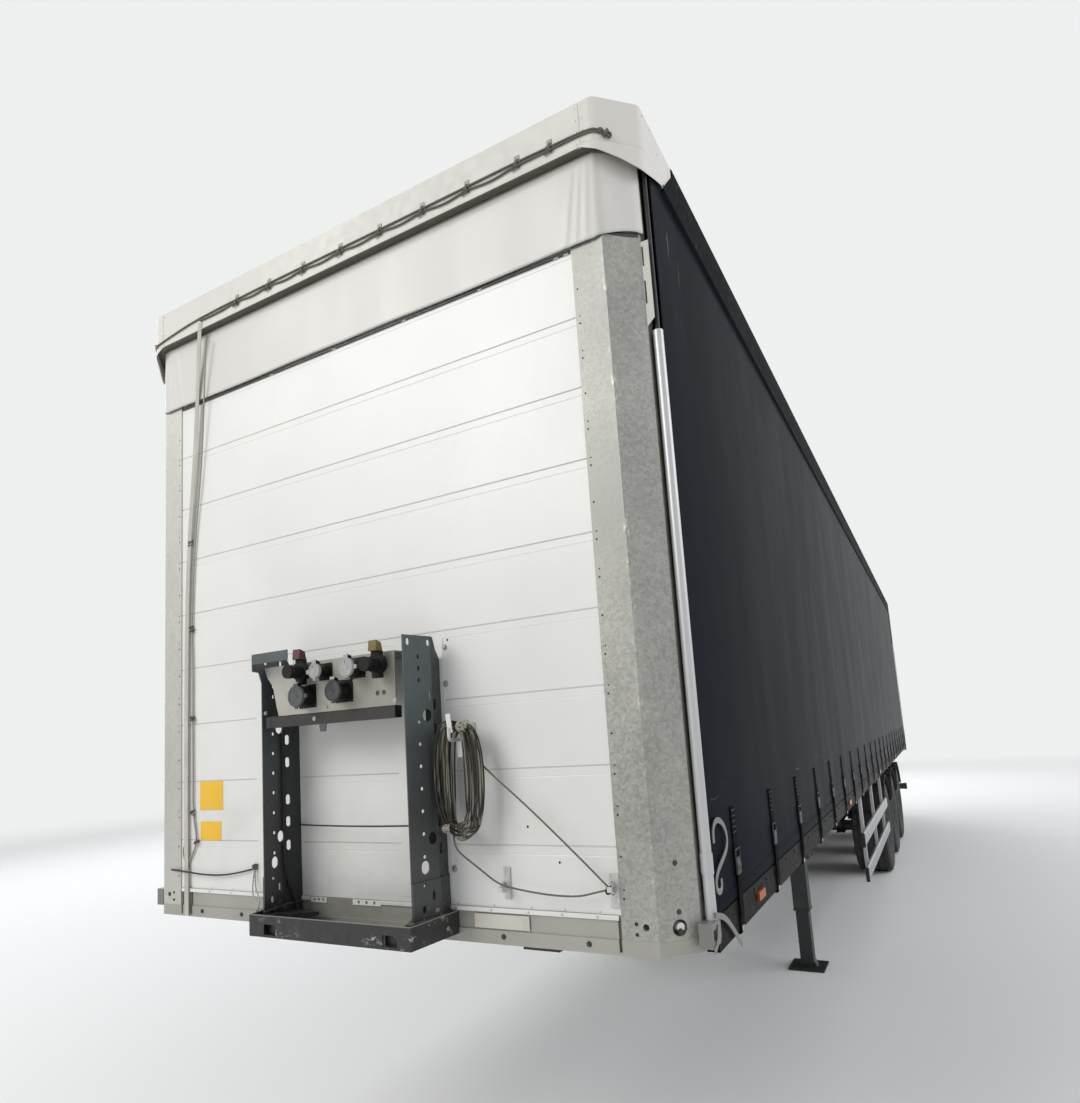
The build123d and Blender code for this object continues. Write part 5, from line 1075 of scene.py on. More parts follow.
def band_fold(across, rise):
    """Creases that fan from the cap's corner down towards the middle."""
    push = 0
    for foot, head, depth, width in ((1000, 1052, 3.2, 13), (1040, 1078, 2.6, 10), (1078, 1100, 2.2, 9)):
        line = foot + (head - foot) * rise
        slack = math.sin(math.pi * min(1, rise * 0.9 + 0.1)) ** 0.5
        push += depth * math.exp(-((across - line) / width) ** 2) * slack
    return push + 0.9 * math.sin(across / 85 + 3 * rise) * math.sin(math.pi * rise)


def band_cloth(shape):
    def place(u, v):
        side = 1 if u >= 0.5 else -1
        reach, across, step_reach, step_across = plan_point(BAND_PLAN, min(1, abs(2 * u - 1)))
        length = math.hypot(step_reach, step_across)
        push = band_fold(across, v) * (0.6 if side < 0 else 1)
        reach += push * step_across / length
        across += push * -step_reach / length
        foot = band_foot(across)
        return on_front(reach, side * across, foot + (3829.4 - foot) * v)
    add_surface(shape, 360, 26, place)


band = cloth_piece("front_band", band_cloth, "cream_tarpaulin", 0.0016, ["front_fascia"])


# Tyres
TREAD_SIDES = 168
TREAD_GROOVES = (-0.118, -0.041, 0.041, 0.118)
GROOVE_HALF, GROOVE_DEPTH = 0.0065, 0.012
CROWN, BEAD = 0.536, 0.291


def tyre_profile():
    """Half section pairs from one bead over the tread to the other: place across and radius."""
    side = [
        (0.121, BEAD), (0.149, 0.2925), (0.158, 0.305), (0.164, 0.322), (0.176, 0.350), (0.1835, 0.372),
        (0.1838, 0.376), (0.1862, 0.378), (0.1905, 0.405), (0.1924, 0.432), (0.1922, 0.458), (0.1888, 0.480),
        (0.1895, 0.484), (0.1868, 0.487), (0.1812, 0.504), (0.1775, 0.516), (0.1758, 0.5235), (0.168, 0.5305),
    ]
    tread = [(0.150, 0.5335)]
    for groove in TREAD_GROOVES[::-1]:
        crown = CROWN - 0.0035 * (abs(groove) / 0.15) ** 2
        tread += [(groove + GROOVE_HALF * share, crown - depth) for share, depth in (
            (1, 0), (0.6, GROOVE_DEPTH), (-0.6, GROOVE_DEPTH), (-1, 0))]
    tread.append((-0.150, 0.5335))
    return side + tread + [(-across, radius) for across, radius in side[::-1]]


def tread_cut(index, across, radius):
    """Cross cuts through the shoulder ribs and fine cuts in the middle ones."""
    outer = abs(across) > 0.13
    if radius < 0.512:
        return across, radius
    if outer and index % 4 == 0:
        return across, radius - (0.009 if abs(across) < 0.177 else 0.005)
    if not outer and radius > CROWN - 0.006 and index % 6 == (3 if across > 0 else 0):
        return across, radius - 0.004
    return across, radius


@wheel_detail("tyre", sharp=28, replaced="tyre_{}")
def tread(shape, side, centre):
    add_lathe(shape, tyre_profile(), centre, (0, side, 0), TREAD_SIDES, turned=tread_cut)


# Front wall
CAP_EYES = (-582, -379, -179, 29, 234, 442, 645, 856, 985)
SKIRT_PLAN = (
    (45.7, 1088), (45.7, 1110), (45.7, 1132.4), (42.6, 1148), (33.8, 1161.2), (9, 1186), (-16, 1211),
    (-40, 1235), (-64.8, 1259.8), (-78, 1268.6), (-93.6, 1271.7), (-150, 1271.7), (-200, 1271.7),
    (-250, 1271.7), (-286, 1271.7),
)
SKIRT_FEET = (3836, 3825, 3812, 3805, 3800, 3791, 3782, 3769, 3755, 3751, 3754, 3779, 3801, 3822, 3834)
SKIRT_TOP = 3841
CAP_SEAM = 1098
HOLE_REACH, HOLE_ACROSS = -45, 1181


def corner_skirt(side):
    """The cap's corner cover, which hangs below the moulded skirt and is pulled in under the band's edge."""
    def place(u, v):
        step = min(int(u * (len(SKIRT_PLAN) - 1)), len(SKIRT_PLAN) - 2)
        part = u * (len(SKIRT_PLAN) - 1) - step
        (reach, across), (next_reach, next_across) = SKIRT_PLAN[step], SKIRT_PLAN[step + 1]
        foot = SKIRT_FEET[step] + (SKIRT_FEET[step + 1] - SKIRT_FEET[step]) * part
        reach, across = reach + (next_reach - reach) * part, across + (next_across - across) * part
        drop = SKIRT_TOP - foot
        wave = 0.5 * v * (1 + math.sin(u * 17))
        return on_front(reach + 0.7 * wave, side * (across + 0.4 * wave), SKIRT_TOP - drop * v)

    return lambda shape: add_surface(shape, 112, 8, place)


@detail("cream_cap", sharp=60)
def cap_lip(shape):
    """A rolled bead along the cap's lower edge."""
    line = [on_front(45.5, across, 3833.5) for across in (-1090, 0, 1090)]
    for first, second in zip(line, line[1:]):
        add_rod(shape, first, second, 0.0032, 8)


@detail("seam_grey", "cream_cap", each=BOTH_SIDES)
def cap_seams(shape, side):
    """Upright seams near the cap's corners."""
    seam = side * CAP_SEAM
    front_slab(shape, (44.6, seam - 1.5, 3838), (46.2, seam + 1.5, 3994), 0.0004)


@detail("rivet", "cream_cap", sharp=60, each=BOTH_SIDES)
def cap_rivets(shape, side):
    """A row of rivets on each side of the seam, and three on the cap's flank."""
    for height in (3848, 3892, 3936, 3980):
        for offset in (-12, 12):
            front_dome(shape, (45, side * CAP_SEAM + offset, height), 0.0035, 0.0014)
    for reach, height in ((-110, 3985), (-180, 3985), (-250, 3940)):
        add_dome(shape, on_front(reach, side * 1271.3, height), (0, side, 0), 0.0045, 0.0016)


@detail("dark_trim", "dark_steel", each=BOTH_SIDES)
def corner_gaps(shape, side):
    """Dark strips under the band at the posts' chamfers: painted shade in the gap under the band's lifted
    edge.
    """
    low = [on_front(reach, side * across, height) for reach, across, height in (
        (-12, 1147, 3531), (-30, 1165, 3530), (-60, 1195, 3530), (-90, 1225.5, 3534))]
    high = [point + Vector((0, 0, 0.016)) for point in low]
    out = Vector((0.0012, side * 0.0012, 0))
    for index in range(3):
        add_rings(shape, [
            [low[index], low[index + 1], high[index + 1], high[index]],
            [point + out for point in (low[index], low[index + 1], high[index + 1], high[index])],
        ])


@detail("dark_trim", "dark_steel")
def band_rail(shape):
    """The dark rail that clips the band's foot to the planks."""
    front_slab(shape, (0.3, -1012, 3507), (6.5, 1012, 3517.6), 0.0008)


@detail("white_trim", "white_plank")
def sill_strip(shape):
    """The white strip over the beam's joint, under the lowest plank."""
    for low, high in ((-1010, -255), (90, 1010)):
        front_slab(shape, (4.2, low, 1337), (6.4, high, 1351.5), 0.0006)


@detail("rivet", "zinc_fitting", sharp=60)
def sill_rivets(shape):
    for across in (-960, -830, -700, -570, 250, 420, 560, 700, 820, 940):
        front_dome(shape, (6.4, across, 1344), 0.0042, 0.0020)
        front_dome(shape, (0.2, across + 8, 1358), 0.0032, 0.0014)


@detail("buckle_steel", "galvanised", sharp=60, each=BOTH_SIDES)
def post_rivets(shape, side):
    """Rivets down the posts' inner edges, two to a plank, and a few on the planks beside them."""
    for index in range(17):
        height = 1400 + 123 * index
        front_dome(shape, (4, side * 1031, height), 0.0034, 0.0018)
        if index % 3 != 1:
            front_dome(shape, (4, side * 1033, height + 26), 0.0028, 0.0014)
    for height in (1300, 1330):
        front_dome(shape, (4, side * 1064, height), 0.006, 0.003)


@detail("buckle_steel", "zinc_fitting", sharp=60)
def plank_screws(shape):
    for reach, across, height in ((0, 84, 2230), (2.3, -301, 2140), (0, 430, 2254), (2.3, 300, 1560),
                                  (0, 820, 1500), (0, 712, 1610)):
        front_dome(shape, (reach, across, height), 0.0042, 0.0018)


@detail("seam_grey", "white_plank")
def plank_seams(shape):
    """The planks' tongues, which show a little way down in the gaps."""
    for index in range(8):
        gap = 1550.75 + 246 * index
        front_slab(shape, (-1.6, -1016, gap - 1.1), (-0.4, 1016, gap + 1.1), 0.0001)


@detail("dark_trim", "beam_steel")
def beam_bolts(shape):
    """Bolts through the beam and on the posts' chamfers."""
    for across in (-880, -640, 600, 905):
        front_bolt(shape, (4, across, 1262), 0.0065, 0.005)
    for side in SIDES.values():
        for height in (1305, 1360, 1500):
            place = on_front(-45.8, side * HOLE_ACROSS, height)
            add_bolt(shape, place, (0.707, side * 0.707, 0), 0.006, 0.004)


@detail("plate_steel", "beam_steel")
def beam_plate(shape):
    """A bare plate on the beam beside the console."""
    front_slab(shape, (4.1, 492, 1286), (5.4, 700, 1331), 0.0005)


@detail("plate_yellow", "white_plank")
def yellow_plates(shape):
    """Two bare yellow plates on the planks."""
    for low, high, foot, head in ((-897, -751, 1675, 1796), (-894, -762, 1550, 1629)):
        front_slab(shape, (0.1, low, foot), (1.0, high, head), 0.0003)


@detail("zinc_fitting", sharp=60)
def eye_rings(shape):
    """Wire rings that carry the cords at the corners."""
    add_hoop(shape, on_front(28, 626, 1424), (0.4, 0.9, 0), 0.012, 0.0018, stretch=1.3)
    add_hoop(shape, on_front(24, 1004, 1434), (0.3, 0.95, 0.1), 0.014, 0.002, stretch=1.35)
    for across, height in ((-950, 2857), (-944, 2464), (-935, 2065), (-936, 1664)):
        add_hoop(shape, on_front(8, across, height), (1, 0.2, 0.3), 0.012, 0.0016, stretch=0.75)


@detail("weathered_cord", "beige_cord", sharp=60)
def cap_knots(shape):
    """Cord in a small triangle under each of the cap's eyes, and a knot at the corner."""
    draw = random.Random(11)
    for across in CAP_EYES:
        lean = draw.uniform(-4, 4)
        peak = on_front(51, across + 3 + lean, 3897)
        left = on_front(52, across - 21 + lean, 3861)
        middle = on_front(52, across - 7, 3864)
        right = on_front(52, across + 19 + lean, 3874)
        for first, second in ((peak, left), (peak, right), (left, middle), (middle, right), (peak, middle)):
            add_rod(shape, first, second, 0.0024, 8)
        for turn in range(3):
            centre = on_front(50.5, across - 6 + 5 * turn, 3878 - 2 * turn)
            add_hoop(shape, centre, (0.1, 1, 0.3), 0.0075, 0.0024, 12, 6, 1.35)
    for turn in range(9):
        along = draw.uniform(0, 34)
        aside = 0.707 * along
        centre = on_front(33.5 - aside, 1167.3 + aside, 3869 - 0.35 * along + draw.uniform(-5, 5))
        tilt = (draw.uniform(-0.4, 1), draw.uniform(0.3, 1), draw.uniform(-0.6, 0.6))
        add_hoop(shape, centre, tilt, draw.uniform(0.005, 0.010), 0.0027, 12, 6, 1.3)


@detail("beige_cord", sharp=60)
def cord_knots(shape):
    for reach, across, height in ((7, -976, 1442), (9, -553, 1449), (49, -1141, 3851), (24, 629, 1431)):
        for turn in range(3):
            tilt = (0.5, math.cos(turn * 2.1), math.sin(turn * 2.1))
            add_hoop(shape, on_front(reach, across + turn, height - 3 * turn), tilt, 0.0052, 0.0026, 12, 6)


@detail("white_trim", "white_plank", sharp=60, each=BOTH_SIDES)
def post_plugs(shape, side):
    """White plugs that show in the round holes at the posts' feet."""
    out = Vector((0.7071, side * 0.7071, 0))
    face = on_front(HOLE_REACH - 3.5, side * (HOLE_ACROSS + 3.5), 1315)
    add_rod(shape, face - out * 0.034, face - out * 0.006, 0.0135, 20)
    add_dome(shape, face - out * 0.006, out, 0.0135, 0.003, 20)


@detail("weathered_cord", "beige_cord", sharp=60)
def rope_knots(shape):
    """Dark wraps where the rope is made fast at its rings and the short cords at their eye."""
    draw = random.Random(21)
    for reach, across, height in ((10, -948, 2857), (9, -942, 2464), (9, -935, 2065), (9, -936, 1664),
                                  (9, -909, 1545), (11, -553, 1449)):
        for turn in range(4):
            tilt = (0.3, draw.uniform(-0.6, 0.6), 1)
            centre = on_front(reach, across + draw.uniform(-3, 3), height + draw.uniform(-9, 9))
            add_hoop(shape, centre, tilt, draw.uniform(0.006, 0.009), 0.0026, 14, 6, 1.2)


@detail("dark_cord", sharp=60)
def ring_knot(shape):
    """The dark knot where both free runs of the hung cord meet at the corner's ring."""
    draw = random.Random(8)
    for turn in range(6):
        tilt = (draw.uniform(0.2, 1), draw.uniform(-1, 1), draw.uniform(-1, 1))
        centre = on_front(34, 1000 + draw.uniform(-5, 5), 1433 + draw.uniform(-6, 6))
        add_hoop(shape, centre, tilt, draw.uniform(0.006, 0.010), 0.0026, 14, 6, 1.2)


@detail("beige_cord", sharp=60)
def hank_ties(shape):
    """Cord wound round the hank where it is tied, at its head and its foot."""
    draw = random.Random(5)
    for across, height, size, count in ((540, 1943, 0.015, 7), (556, 1955, 0.0085, 3),
                                        (465, 1616, 0.0105, 5)):
        for turn in range(count):
            tilt = (0.9, draw.uniform(-1, 1), draw.uniform(-1, 1))
            centre = on_front(COIL_REACH + 22, across + draw.uniform(-5, 5), height + draw.uniform(-6, 6))
            add_hoop(shape, centre, tilt, size * draw.uniform(0.55, 1), 0.0030, 14, 6, 1.2)


@detail("white_trim", "zinc_fitting", sharp=45)
def hook_bars(shape):
    """White flat bars of the hook that carries the hank."""
    for route, width in (([(112, 497, 1989), (112, 500, 1962), (108, 502, 1926)], 0.020),
                         ([(60, 502, 1912), (60, 504, 1878), (60, 506, 1845)], 0.024)):
        front_ribbon(shape, route, (0, 1, 0.1), width, 0.003, 1)


for side_name, side in SIDES.items():
    cloth_piece(f"corner_skirt_{side_name}", corner_skirt(side), "cream_cap", 0.0016)


# Console fittings
# across, height, lid's radius and the side of its catch
SOCKETS = ((-63, 2091, 38, 1), (28, 2172, 27, -1), (112, 2096, 36, 0), (176, 2171, 32, 1))
LID_FACE, PANEL_FACE, CONSOLE_MIDDLE = 239.6, 180, 45
COUPLINGS = ((-60, 2180), (292, 2172))


@detail("cap_grey", sharp=40)
def lid_rims(shape):
    """A raised rim, an inner ring and a thumb tab on each lid."""
    boss = [(-0.001, 0.009), (0.0010, 0.0085), (0.0014, 0.006), (0.0004, 0.003)]
    for across, height, radius, _ in SOCKETS:
        centre = on_front(LID_FACE, across, height)
        rim = [(-0.002, radius * 0.00096), (0.0014, radius * 0.00094), (0.0014, radius * 0.00082),
               (-0.0005, radius * 0.00078)]
        add_lathe(shape, rim, centre, FRONTWARDS, 36)
        add_lathe(shape, boss, centre, FRONTWARDS, 24, closed=False)
        tab = on_front(LID_FACE - 6, across - 7, height - radius - 7)
        add_slab(shape, tab, tab + Vector((0.0055, 0.014, 0.010)), 0.0012)


@detail("coupling_black", sharp=45)
def lid_hinges(shape):
    """Hinge lugs, pin and spring over each lid, and its catch."""
    for across, height, radius, catch in SOCKETS:
        middle = height + radius + 3
        for edge in (-9, 9):
            low = on_front(222, across + edge - 2.5, middle - 8)
            add_slab(shape, low, low + Vector((0.017, 0.005, 0.013)), 0.001)
        add_rod(shape, on_front(232, across - 13, middle), on_front(232, across + 13, middle), 0.0022, 8)
        for turn in range(5):
            coil = on_front(232, across - 5 + 2.4 * turn, middle)
            add_hoop(shape, coil, (0, 1, 0.1), 0.0044, 0.0009, 14, 5)
        tip = on_front(LID_FACE + 1.2, across - 3, height + radius * 0.45)
        add_rod(shape, on_front(236, across - 5, middle - 1), tip, 0.0009, 6)
        if catch:
            edge = across + catch * (radius + 6)
            route = [(226, edge - catch * 4, height + 8), (236, edge, height + 2),
                     (232, edge + catch * 3, height - 10)]
            front_ribbon(shape, route, UPWARDS, 0.007, 0.0022, 1)


@detail("rivet", "zinc_fitting", sharp=60)
def flange_screws(shape):
    for across, height, radius, _ in SOCKETS:
        for up in (-1, 1):
            for aside in (-1, 1):
                place = (PANEL_FACE + 0.2, across + aside * (radius + 4), height + up * radius * 0.9)
                front_dome(shape, place, 0.0036, 0.0024, 8)


@detail("coupling_black", sharp=45)
def coupling_ribs(shape):
    """Ribs on the couplings' barrels, their face plates, seals and panel nuts."""
    seal = [(0, 0.026), (0.004, 0.027), (0.006, 0.024), (0.006, 0.012), (0.003, 0.010)]
    nut = [(-0.001, 0.017), (0.011, 0.017), (0.013, 0.0155)]
    for across, height in COUPLINGS:
        for step in range(4):
            add_hoop(shape, on_front(232 + 10 * step, across, height - 4), FRONTWARDS, 0.0205, 0.0022, 24, 6)
        add_lathe(shape, seal, on_front(214, across - 20, height), (0, -1, 0), 28, closed=False)
        add_lathe(shape, nut, on_front(PANEL_FACE, across, height - 4), FRONTWARDS, 6, closed=False)
        route = [(226, across - 24, height + 22), (230, across - 30, height + 4),
                 (222, across - 30, height - 18)]
        front_ribbon(shape, route, FRONTWARDS, 0.012, 0.004, 1)


@detail("zinc_fitting")
def plate_bolts(shape):
    """Bolts that hold both plates to the wall, the crossbar, the panel and the sill."""
    for side in SIDES.values():
        for height in (1320, 1470, 1680, 1890, 2100, 2230):
            front_bolt(shape, (2.4, CONSOLE_MIDDLE + side * 372, height), 0.0075, 0.006)
        for reach, across in ((205, 355), (60, 373)):
            place = on_front(reach, CONSOLE_MIDDLE + side * across, 1290)
            add_bolt(shape, place, (0, side, 0), 0.008, 0.006)
    for across in (-283, 336, 25):
        front_bolt(shape, (PANEL_FACE + 0.1, across, 2046), 0.006, 0.005)
    front_bolt(shape, (176.2, -38, 2010), 0.0065, 0.005)


@detail("console_paint")
def sill_gussets(shape):
    """Wedge plates inside the tray, the backs of its notches and the stub at its far end."""
    for across in (-215, 322):
        front_slab(shape, (212, across - 34, 1268), (216, across + 34, 1312), 0.0006)
    for side, length in ((-1, 130), (1, 100)):
        root = CONSOLE_MIDDLE + side * 330
        plan = [(30, root), (190, root), (190, root - side * length * 0.25), (60, root - side * length)]
        low = [on_front(reach, across, 1300) for reach, across in plan]
        high = [on_front(reach, across, 1306 + 22 * (reach / 190)) for reach, across in plan]
        add_rings(shape, [low, high])
    front_slab(shape, (150, -352, 1318), (176, -318, 1336), 0.002)


@detail("coupling_black", "console_paint")
def hole_backs(shape):
    """Dark sheets behind the near plate's holes: painted shade where the inside of the plate shows through.
    """
    def inner_face(reach):
        return 358 - (reach - 72) * 24 / 118 if reach > 72 else 343 + reach * 15 / 72

    for low, high, foot, head in ((74, 97, 1966, 2016), (74, 116, 1561, 1611), (118, 136, 2095, 2205),
                                  (44, 66, 1520, 2055), (96, 156, 1352, 1424)):
        corners = ((low, 1.2), (high, 1.2), (high, 2.4), (low, 2.4))
        plan = [(reach, CONSOLE_MIDDLE + inner_face(reach) - inward) for reach, inward in corners]
        add_rings(shape, [[on_front(*place, height) for place in plan] for height in (foot, head)])


# Wheel fittings
WHEEL_FACE, HUB_FACE = 0.034, 0.1115
NUT_RADIUS, HUB_BOLT_RADIUS = 0.143, 0.072


def round_places(centre, radius, count, start):
    """Places on an upright circle that faces aside."""
    for index in range(count):
        angle = 2 * math.pi * (index + start) / count
        yield Vector((centre.x + radius * math.cos(angle), centre.y, centre.z + radius * math.sin(angle)))


@wheel_detail("zinc_fitting")
def nuts(shape, side, centre):
    """Ten nuts on their studs and the hub cover's eight bolts."""
    out = Vector((0, side, 0))
    for place in round_places(centre + out * WHEEL_FACE, NUT_RADIUS, 10, 0.5):
        add_bolt(shape, place, out, 0.0165, 0.021, 1.25)
        add_rod(shape, place, place + out * 0.033, 0.0095, 10)
    for place in round_places(centre + out * HUB_FACE, HUB_BOLT_RADIUS, 8, 0):
        add_bolt(shape, place, out, 0.006, 0.005, 1.3)


# Rear doors
DOOR_LOW, DOOR_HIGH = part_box("rear_door_left")
DOOR_FACE, DOOR_FOOT, DOOR_HEAD = DOOR_LOW.x, DOOR_LOW.z, DOOR_HIGH.z
DOOR_GAP, DOOR_EDGE = 0.003, 1.254
HINGE_HEIGHTS = (1.49, 2.24, 2.99, 3.74)
LOCK_BARS = (0.30, 0.78)
GUIDE_HEIGHTS = (1.35, 1.99, 3.04, 3.88)
HANDLE_HEIGHT = 1.705
REAR = DOOR_FACE + 0.033


@side_detail("black_plastic", body="rear_door_{}")
def door_seals(shape, side):
    """Rubber lips round the leaf, the widest along its free edge."""
    for near, far, foot, head in (
        (DOOR_GAP, 0.028, DOOR_FOOT, DOOR_HEAD),
        (DOOR_EDGE - 0.016, DOOR_EDGE, DOOR_FOOT, DOOR_HEAD),
        (DOOR_GAP, DOOR_EDGE, DOOR_FOOT, DOOR_FOOT + 0.016),
        (DOOR_GAP, DOOR_EDGE, DOOR_HEAD - 0.016, DOOR_HEAD),
    ):
        add_slab(shape, (DOOR_FACE - 0.0035, side * near, foot),
                 (DOOR_FACE + 0.001, side * far, head), 0.0012)


@side_detail("rivet", body="rear_door_{}")
def door_rivets(shape, side):
    """Rivets down both frame edges and along the head and foot rails."""
    places = [(across, DOOR_FOOT + 0.045 + step * 0.1219)
              for step in range(22) for across in (0.048, DOOR_EDGE - 0.03)]
    places += [(0.11 + step * 0.115, height)
               for step in range(10) for height in (DOOR_FOOT + 0.036, DOOR_HEAD - 0.036)]
    for across, height in places:
        add_dome(shape, (DOOR_FACE, side * across, height), BACKWARDS, 0.0045, 0.002, 8)


@side_detail("zinc_fitting", body="rear_door_{}")
def gear_bolts(shape, side):
    """Bolts in the hinge straps and in the lock bars' guides, and collars on the bars beside each guide."""
    for height in HINGE_HEIGHTS:
        for across in (1.075, 1.13, 1.20):
            add_bolt(shape, (DOOR_FACE - 0.008, side * across, height), BACKWARDS, 0.0085, 0.006)
    for bar in (side * LOCK_BARS[0], side * LOCK_BARS[1]):
        for height in GUIDE_HEIGHTS:
            for offset in (-0.025, 0.025):
                add_bolt(shape, (DOOR_FACE - 0.023, bar + offset, height), BACKWARDS, 0.006, 0.005)
            for rise in (-0.03, 0.022):
                centre = (DOOR_FACE - 0.017, bar, height + rise)
                add_band(shape, centre, UPWARDS, 0, 0.008, 0.0132, 0.0185, 20)
        foot = DOOR_FOOT - 0.016
        for low, high, drop in ((-0.036, -0.028, -0.024), (0.028, 0.036, -0.024), (-0.036, 0.036, 0.012)):
            add_slab(shape, (DOOR_FACE - 0.024, bar + low, foot + drop),
                     (DOOR_FACE - 0.012, bar + high, foot + 0.03), 0.0015)


@side_detail("black_plastic", body="rear_door_{}")
def handle_grips(shape, side):
    """Ribbed plastic sleeves over the ends of the lock bars' handles."""
    for bar in LOCK_BARS:
        add_slab(shape, (DOOR_FACE - 0.0245, side * (bar + 0.205), HANDLE_HEIGHT - 0.0185),
                 (DOOR_FACE - 0.0095, side * (bar + 0.272), HANDLE_HEIGHT + 0.0185), 0.003)
        for step in range(5):
            across = side * (bar + 0.212 + 0.0125 * step)
            add_slab(shape, (DOOR_FACE - 0.0258, across - 0.002, HANDLE_HEIGHT - 0.0198),
                     (DOOR_FACE - 0.0082, across + 0.002, HANDLE_HEIGHT + 0.0198), 0.0008)


# Rear lamps, sill and bumper
LAMP_PLACES = (0.945, 1.060, 1.175)
LAMP_HEIGHT, LAMP_FACE = 1.237, REAR - 0.028


@detail("black_plastic", each=BOTH_SIDES)
def lamp_rings(shape, side):
    """Black bezels round the lenses and a gasket round each housing."""
    for across in LAMP_PLACES:
        bezel = [(-0.006, 0.0405), (-0.006, 0.0455), (0.002, 0.0445), (0.003, 0.0405)]
        add_lathe(shape, bezel, (LAMP_FACE, side * across, LAMP_HEIGHT), BACKWARDS, 36)
    for low, high in (((0.876, 1.186), (1.244, 1.190)), ((0.876, 1.284), (1.244, 1.288))):
        add_slab(shape, (REAR - 0.021, side * low[0], low[1]), (REAR - 0.001, side * high[0], high[1]), 0.001)


LENS_STEPS = [
    (-0.001, 0.0400), (0.0015, 0.0398), (0.003, 0.034), (0.0022, 0.033), (0.0042, 0.026), (0.0034, 0.025),
    (0.0052, 0.015), (0.0045, 0.014), (0.0058, 0.004),
]


def lamp_lens(shape, across):
    """A crowned lens with concentric steps, on both lamps."""
    for side in SIDES.values():
        add_lathe(shape, LENS_STEPS, (LAMP_FACE, side * across, LAMP_HEIGHT), BACKWARDS, 36, closed=False)


LENSES = (("reverse_lenses", "clear_lens", "red_lens"), ("brake_lenses", "red_lens", "red_lens"),
          ("turn_lenses", "amber_lens", "amber_lens"))
for across, (name, finish, slot) in zip(LAMP_PLACES, LENSES):
    mesh_piece(name, lambda shape: lamp_lens(shape, across), finish, sharp=60)


@detail("black_plastic", each=BOTH_SIDES)
def sill_buffers(shape, side):
    """Rubber blocks that meet a loading dock, between the lamps and the lock bars."""
    for across in (0.10, 0.54):
        middle = side * across
        add_slab(shape, (REAR - 0.030, middle - 0.06, 1.192), (REAR, middle + 0.06, 1.236), 0.006)


@detail("zinc_fitting", each=BOTH_SIDES)
def sill_buffer_bolts(shape, side):
    for across in (0.10, 0.54):
        for offset in (-0.035, 0.035):
            add_bolt(shape, (REAR - 0.030, side * across + offset, 1.214), BACKWARDS, 0.008, 0.006)


@detail("black_plastic", each=BOTH_SIDES)
def bumper_caps(shape, side):
    """Moulded ends on the underrun bar."""
    low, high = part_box("rear_bumper")
    add_slab(shape, (low.x - 0.004, side * 1.150, 0.466), (low.x + 0.104, side * 1.2055, 0.574), 0.010)


@detail("zinc_fitting", each=BOTH_SIDES)
def bumper_bolts(shape, side):
    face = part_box("rear_bumper")[0].x
    for offset in (-0.055, 0.055):
        for height in (0.495, 0.545):
            add_bolt(shape, (face, side * 0.65 + offset, height), BACKWARDS, 0.010, 0.008)
    for height in (0.66, 0.74, 0.82):
        add_bolt(shape, (face + 0.06, side * 0.69, height), (0, side, 0), 0.010, 0.008)


# Sides


@detail("buckle_steel", "rail_paint", sharp=50, each=BOTH_SIDES)
def rail_rivets(shape, side):
    """Rivets along both roof rails and bolts along both raves."""
    for step in range(33):
        along = -6.55 + 0.4 * step
        add_dome(shape, (along, side * HALF_WIDTH, 3.972), (0, side, 0), 0.0045, 0.002, 8)
        add_dome(shape, (along + 0.2, side * HALF_WIDTH, 3.838), (0, side, 0), 0.0045, 0.002, 8)
    for step in range(21):
        along = -6.42 + 0.62 * step
        for offset in (-0.10, 0.10):
            add_bolt(shape, (along + offset, side * 1.263, 1.300), (0, side, 0), 0.0065, 0.0045)


@detail("zinc_fitting", sharp=50, each=BOTH_SIDES)
def guard_bolts(shape, side):
    """Coach bolts that hold the side guards' rails to their posts."""
    for setback in (4.8, 5.9, 7.0):
        for height in (0.595, 0.635, 0.865, 0.905):
            for offset in (-0.016, 0.016):
                add_dome(shape, (WALL - setback + offset, side * 1.265, height), (0, side, 0), 0.008, 0.004)


@detail("black_plastic", each=BOTH_SIDES)
def guard_ends(shape, side):
    """Plastic plugs in the side guards' rail ends."""
    low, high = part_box("side_guards")
    for foot in (0.56, 0.83):
        for end, out in ((low.x, -1), (high.x, 1)):
            add_slab(shape, (end, side * 1.2385, foot - 0.0015),
                     (end + out * 0.012, side * 1.2665, foot + 0.1115), 0.004)


@detail("black_plastic", sharp=50, each=ALL_WHEELS)
def mudguard_beads(shape, side, centre):
    """Rolled edges on the mudguards, and the clamps that hold them to their rods."""
    radius = 0.599
    for across in (0.8125, 1.2275):
        arc = [
            Vector((centre.x + radius * math.cos(angle), side * across, centre.z + radius * math.sin(angle)))
            for angle in (math.radians(24 + 132 * step / 26) for step in range(27))
        ]
        for first, second in zip(arc, arc[1:]):
            add_rod(shape, first, second, 0.006, 6)
    for angle in (60, 120):
        out = Vector((math.cos(math.radians(angle)), 0, math.sin(math.radians(angle))))
        for across in (0.86, 1.18):
            rod_centre = Vector((centre.x, side * across, centre.z)) + out * 0.616
            add_band(shape, rod_centre, LEFTWARDS, -0.018, 0.018, 0.0162, 0.021, 20)
            add_bolt(shape, rod_centre + out * 0.0205, out, 0.007, 0.006)


# Under the floor
BEAM_ACROSS = 0.65
LEG_ALONG, LEG_ACROSS, COLLAR_HALF = WALL - 4.05, 0.8, 0.0615


